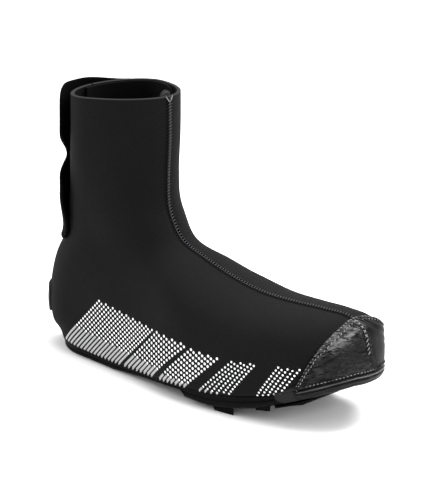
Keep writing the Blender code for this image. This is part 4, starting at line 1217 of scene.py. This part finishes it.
def seam_tab():
    """Tape end behind the top of the front seam, rounded at both ends and standing 4 mm
    above the collar, with a pressed ring and dot on its front."""
    rim = POINTS[-1, 0]
    front = rim[0] - WALL - GAP - SEAM_TAB_WIDTH**2 / (1.6 * SHAFT_WIDTH)
    half = SEAM_TAB_WIDTH / 2
    middle = float(centre(rim[0])) - 0.0012
    low, high = rim[2] - SEAM_TAB_DROP, rim[2] - 0.0012
    angle = np.linspace(0.0, math.pi, 25)
    y = np.concatenate([half * np.cos(angle), -half * np.cos(angle)])
    z = np.concatenate([high + half * np.sin(angle), low - half * np.sin(angle)])
    level = (low + high) / 2
    rings = []
    for depth, shrink in ((0.0, 0.93), (0.25, 1.0), (0.75, 1.0), (1.0, 0.93)):
        x = np.full(len(y), front - depth * SEAM_TAB_THICKNESS)
        rings.append(np.column_stack([x, middle + y * shrink, level + (z - level) * shrink]))
    rings = np.array(rings)
    piece("seam_tab_tape", rings, ring_faces(*rings.shape[:2]), [SEAM], ["seam_tab"])
    around = np.linspace(0.0, 2 * math.pi, 33)[:-1][:, None]
    tube = np.linspace(0.0, 2 * math.pi, 9)[:-1][None, :]
    faces = quads(32, 8, rows_round=True, columns_round=True)
    faces = np.concatenate([faces, faces + 32 * 8])
    grids = []
    for radius, thick in ((0.0033, 0.0004), (0.0005, 0.0005)):
        wide = radius + thick * np.cos(tube)
        grids.append(np.stack([front + thick * 0.6 * np.sin(tube) + 0.0 * around,
                               middle + wide * np.cos(around),
                               high + 0.0006 + wide * np.sin(around)], axis=-1))
    piece("seam_tab_ring", np.array(grids), faces, [THREAD], sharp=80.0)


def in_block(corner, s, t):
    """A block's corners blended bilinearly, at shares from the rear and from the top."""
    top = corner[0] * (1 - s)[..., None] + corner[1] * s[..., None]
    foot = corner[3] * (1 - s)[..., None] + corner[2] * s[..., None]
    return top * (1 - t)[..., None] + foot * t[..., None]


def print_chart():
    """Dots and stripes of the print: along, slice level and radius, a stripe at 13 places.

    Each block holds columns of dots, every other column half a step down. Near the sole
    the columns run on as stripes.
    """
    dots, bars = [], []
    for *corners, columns, steps, rear, front, radius in PRINT:
        corner = np.array(corners)
        i = np.arange(columns)
        s = i / (columns - 1)
        solid = 1.0 - (rear + (front - rear) * s)
        t = (np.arange(steps + 1)[None, :] + np.where(i % 2 == 1, 0.5, 0.0)[:, None]) / steps
        keep = (t <= solid[:, None] + 0.01) & (t < 1.0 + 0.25 / steps)
        spots = in_block(corner, np.broadcast_to(s[:, None], t.shape)[keep], t[keep])
        spots = spots[spots[:, 1] > 0.003]
        dots.append(np.column_stack([spots, np.full(len(spots), radius)]))
        striped = solid < 0.97
        if striped.any():
            t = solid[striped][:, None] + (1.02 - solid[striped])[:, None] * np.linspace(0.0, 1.0, 13)
            line = in_block(corner, np.broadcast_to(s[striped][:, None], t.shape), t)
            bars.append(np.concatenate([line, np.full((*t.shape, 1), radius)], axis=-1))
    return np.concatenate(dots), bars


def printed_dots():
    """Reflective print: ten-sided dots and flat stripes, 0.05 to 0.14 mm over the jersey,
    with their sides sunk into it."""
    spots, bars = print_chart()
    v = row_of_level(spots[:, 1] * TOE_HEIGHT)
    u = outer_column(spots[:, 0] * LENGTH, v)
    point = lay(u, v, 0.00006)
    out = way_out(u, v)
    across = unit(lay(u - 0.5, v) - lay(u + 0.5, v))
    rise = np.cross(out, across)
    angle = np.arange(10) * math.pi / 5
    circle = across[:, None] * np.cos(angle)[:, None] + rise[:, None] * np.sin(angle)[:, None]
    ring = point[:, None] + circle * spots[:, 2][:, None, None]
    crown = ring * 0.35 + point[:, None] * 0.65 + out[:, None] * 0.00008
    grid = np.stack([ring - out[:, None] * 0.00025, ring, crown], axis=1)
    one = ring_faces(3, 10)
    first = np.arange(len(spots))[:, None, None] * 30
    points = [grid.reshape(-1, 3)]
    faces = [(one[None] + first).reshape(-1, 4)]
    marks = [np.zeros(len(one) * len(spots), int)]
    start = 30 * len(spots)
    strip = ring_faces(13, 6)
    section = [(-1.0, -0.00025), (-1.0, 0.0), (-0.7, 0.00004), (0.7, 0.00004), (1.0, 0.0),
               (1.0, -0.00025)]
    for line in bars:
        v = row_of_level(np.maximum(line[..., 1], 0.002) * TOE_HEIGHT)
        u = outer_column(line[..., 0] * LENGTH, v)
        point, out = lay(u, v, 0.00005), way_out(u, v)
        side = unit(np.cross(out, np.gradient(point, axis=1)))
        wide = line[..., 2:3] * 0.86
        tube = np.stack([point + side * wide * a + out * b for a, b in section], axis=2)
        first = start + np.arange(len(line))[:, None, None] * 78
        points.append(tube.reshape(-1, 3))
        faces.append((strip[None] + first).reshape(-1, 4))
        marks.append(np.ones(len(strip) * len(line), int))
        start += 78 * len(line)
    piece("reflective_print", np.concatenate(points), np.concatenate(faces), [INK, THIN_INK],
          sharp=60.0, marks=np.concatenate(marks))


upper()
cap_ends = toe_cap()
cap_threads(cap_ends)
front_seam()
outsole()
lugs()
toe_rand()
tail_patches()
closure_flap()
underlap()
heel_patch()
seam_tab()
printed_dots()


# Floor, light and camera

def floor():
    """A large flat pale sheet under the shoe."""
    x, y = np.meshgrid(np.linspace(-6.0, 6.0, 3), np.linspace(-6.0, 6.0, 3), indexing="ij")
    mesh = bpy.data.meshes.new("floor")
    points = np.stack([x, y, np.full_like(x, -0.0002)], axis=-1).reshape(-1, 3)
    mesh.from_pydata(points.tolist(), [], quads(3, 3)[:, ::-1].tolist())
    made = bpy.data.objects.new("floor", mesh)
    bpy.context.scene.collection.objects.link(made)
    mesh.materials.append(finish("pale_paper", "#f7f7f7", 0.9, 0.1)[0])


def softbox(name, place, aim, size, power):
    """A rectangular area light at a place, turned to its aim."""
    data = bpy.data.lights.new(name, "AREA")
    data.shape = "RECTANGLE"
    data.size, data.size_y = size
    data.energy = power
    made = bpy.data.objects.new(name, data)
    made.location = place
    made.rotation_euler = (Vector(aim) - Vector(place)).to_track_quat("-Z", "Y").to_euler()
    bpy.context.scene.collection.objects.link(made)


AZIMUTH = math.radians(42.373)
ELEVATION = math.radians(16.625)
ROLL = math.radians(0.185)
DISTANCE = 1.69237
FOCAL = 2374.04            # pixels in the photo's own frame
FRAME = (435, 495)
ON_AXIS = (0.238286, -0.021241, 0.135619)    # a point in the middle of the photo's frame
SHOWN_MIDDLE = (169.0, 261.0)                # pixel of that frame that the camera turns to


def camera():
    """The photo's view of the shoe, turned on the spot so that the shoe is in the middle.

    back = (sin a cos e, -cos a cos e, sin e); the lens is focal pixels * 36 mm / 495.
    """
    level = math.cos(ELEVATION)
    back = np.array([math.sin(AZIMUTH) * level, -math.cos(AZIMUTH) * level, math.sin(ELEVATION)])
    right = np.array([math.cos(AZIMUTH), math.sin(AZIMUTH), 0.0])
    up = np.cross(back, right)
    right, up = (math.cos(ROLL) * right + math.sin(ROLL) * up,
                 math.cos(ROLL) * up - math.sin(ROLL) * right)
    place = np.array(ON_AXIS) + SHIFT + back * DISTANCE
    right_by, down_by = ((SHOWN_MIDDLE[i] - FRAME[i] / 2) / FOCAL for i in (0, 1))
    ray = unit(-back + right_by * right - down_by * up)
    side = unit(np.cross(ray, up))
    data = bpy.data.cameras.new("camera")
    data.sensor_width = 36.0
    data.sensor_fit = "AUTO"
    data.lens = FOCAL * 36.0 / max(FRAME)
    data.clip_start, data.clip_end = 0.05, 30.0
    made = bpy.data.objects.new("camera", data)
    turned = Matrix(np.column_stack([side, np.cross(side, ray), -ray]).tolist()).to_4x4()
    turned.translation = Vector(place)
    made.matrix_world = turned
    bpy.context.scene.collection.objects.link(made)
    bpy.context.scene.camera = made


floor()
softbox("overhead", (0.0, 0.05, 1.3), (0.02, 0.0, 0.05), (0.9, 0.7), 11.0)
softbox("rear_left", (-1.2, -0.7, 0.6), (-0.1, 0.0, 0.1), (0.5, 1.1), 9.0)
softbox("toe", (1.15, -0.10, 0.50), (0.14, 0.0, 0.06), (0.30, 0.60), 6.5)
softbox("inner_side", (0.25, 0.9, 1.2), (0.05, 0.0, 0.08), (0.6, 0.6), 22.0)
world = bpy.data.worlds.new("studio")
world.use_nodes = True
world.node_tree.nodes["Background"].inputs[0].default_value = (1.0, 1.0, 1.0, 1.0)
world.node_tree.nodes["Background"].inputs[1].default_value = 0.95
bpy.context.scene.world = world
bpy.context.scene.view_settings.view_transform = "Standard"
camera()
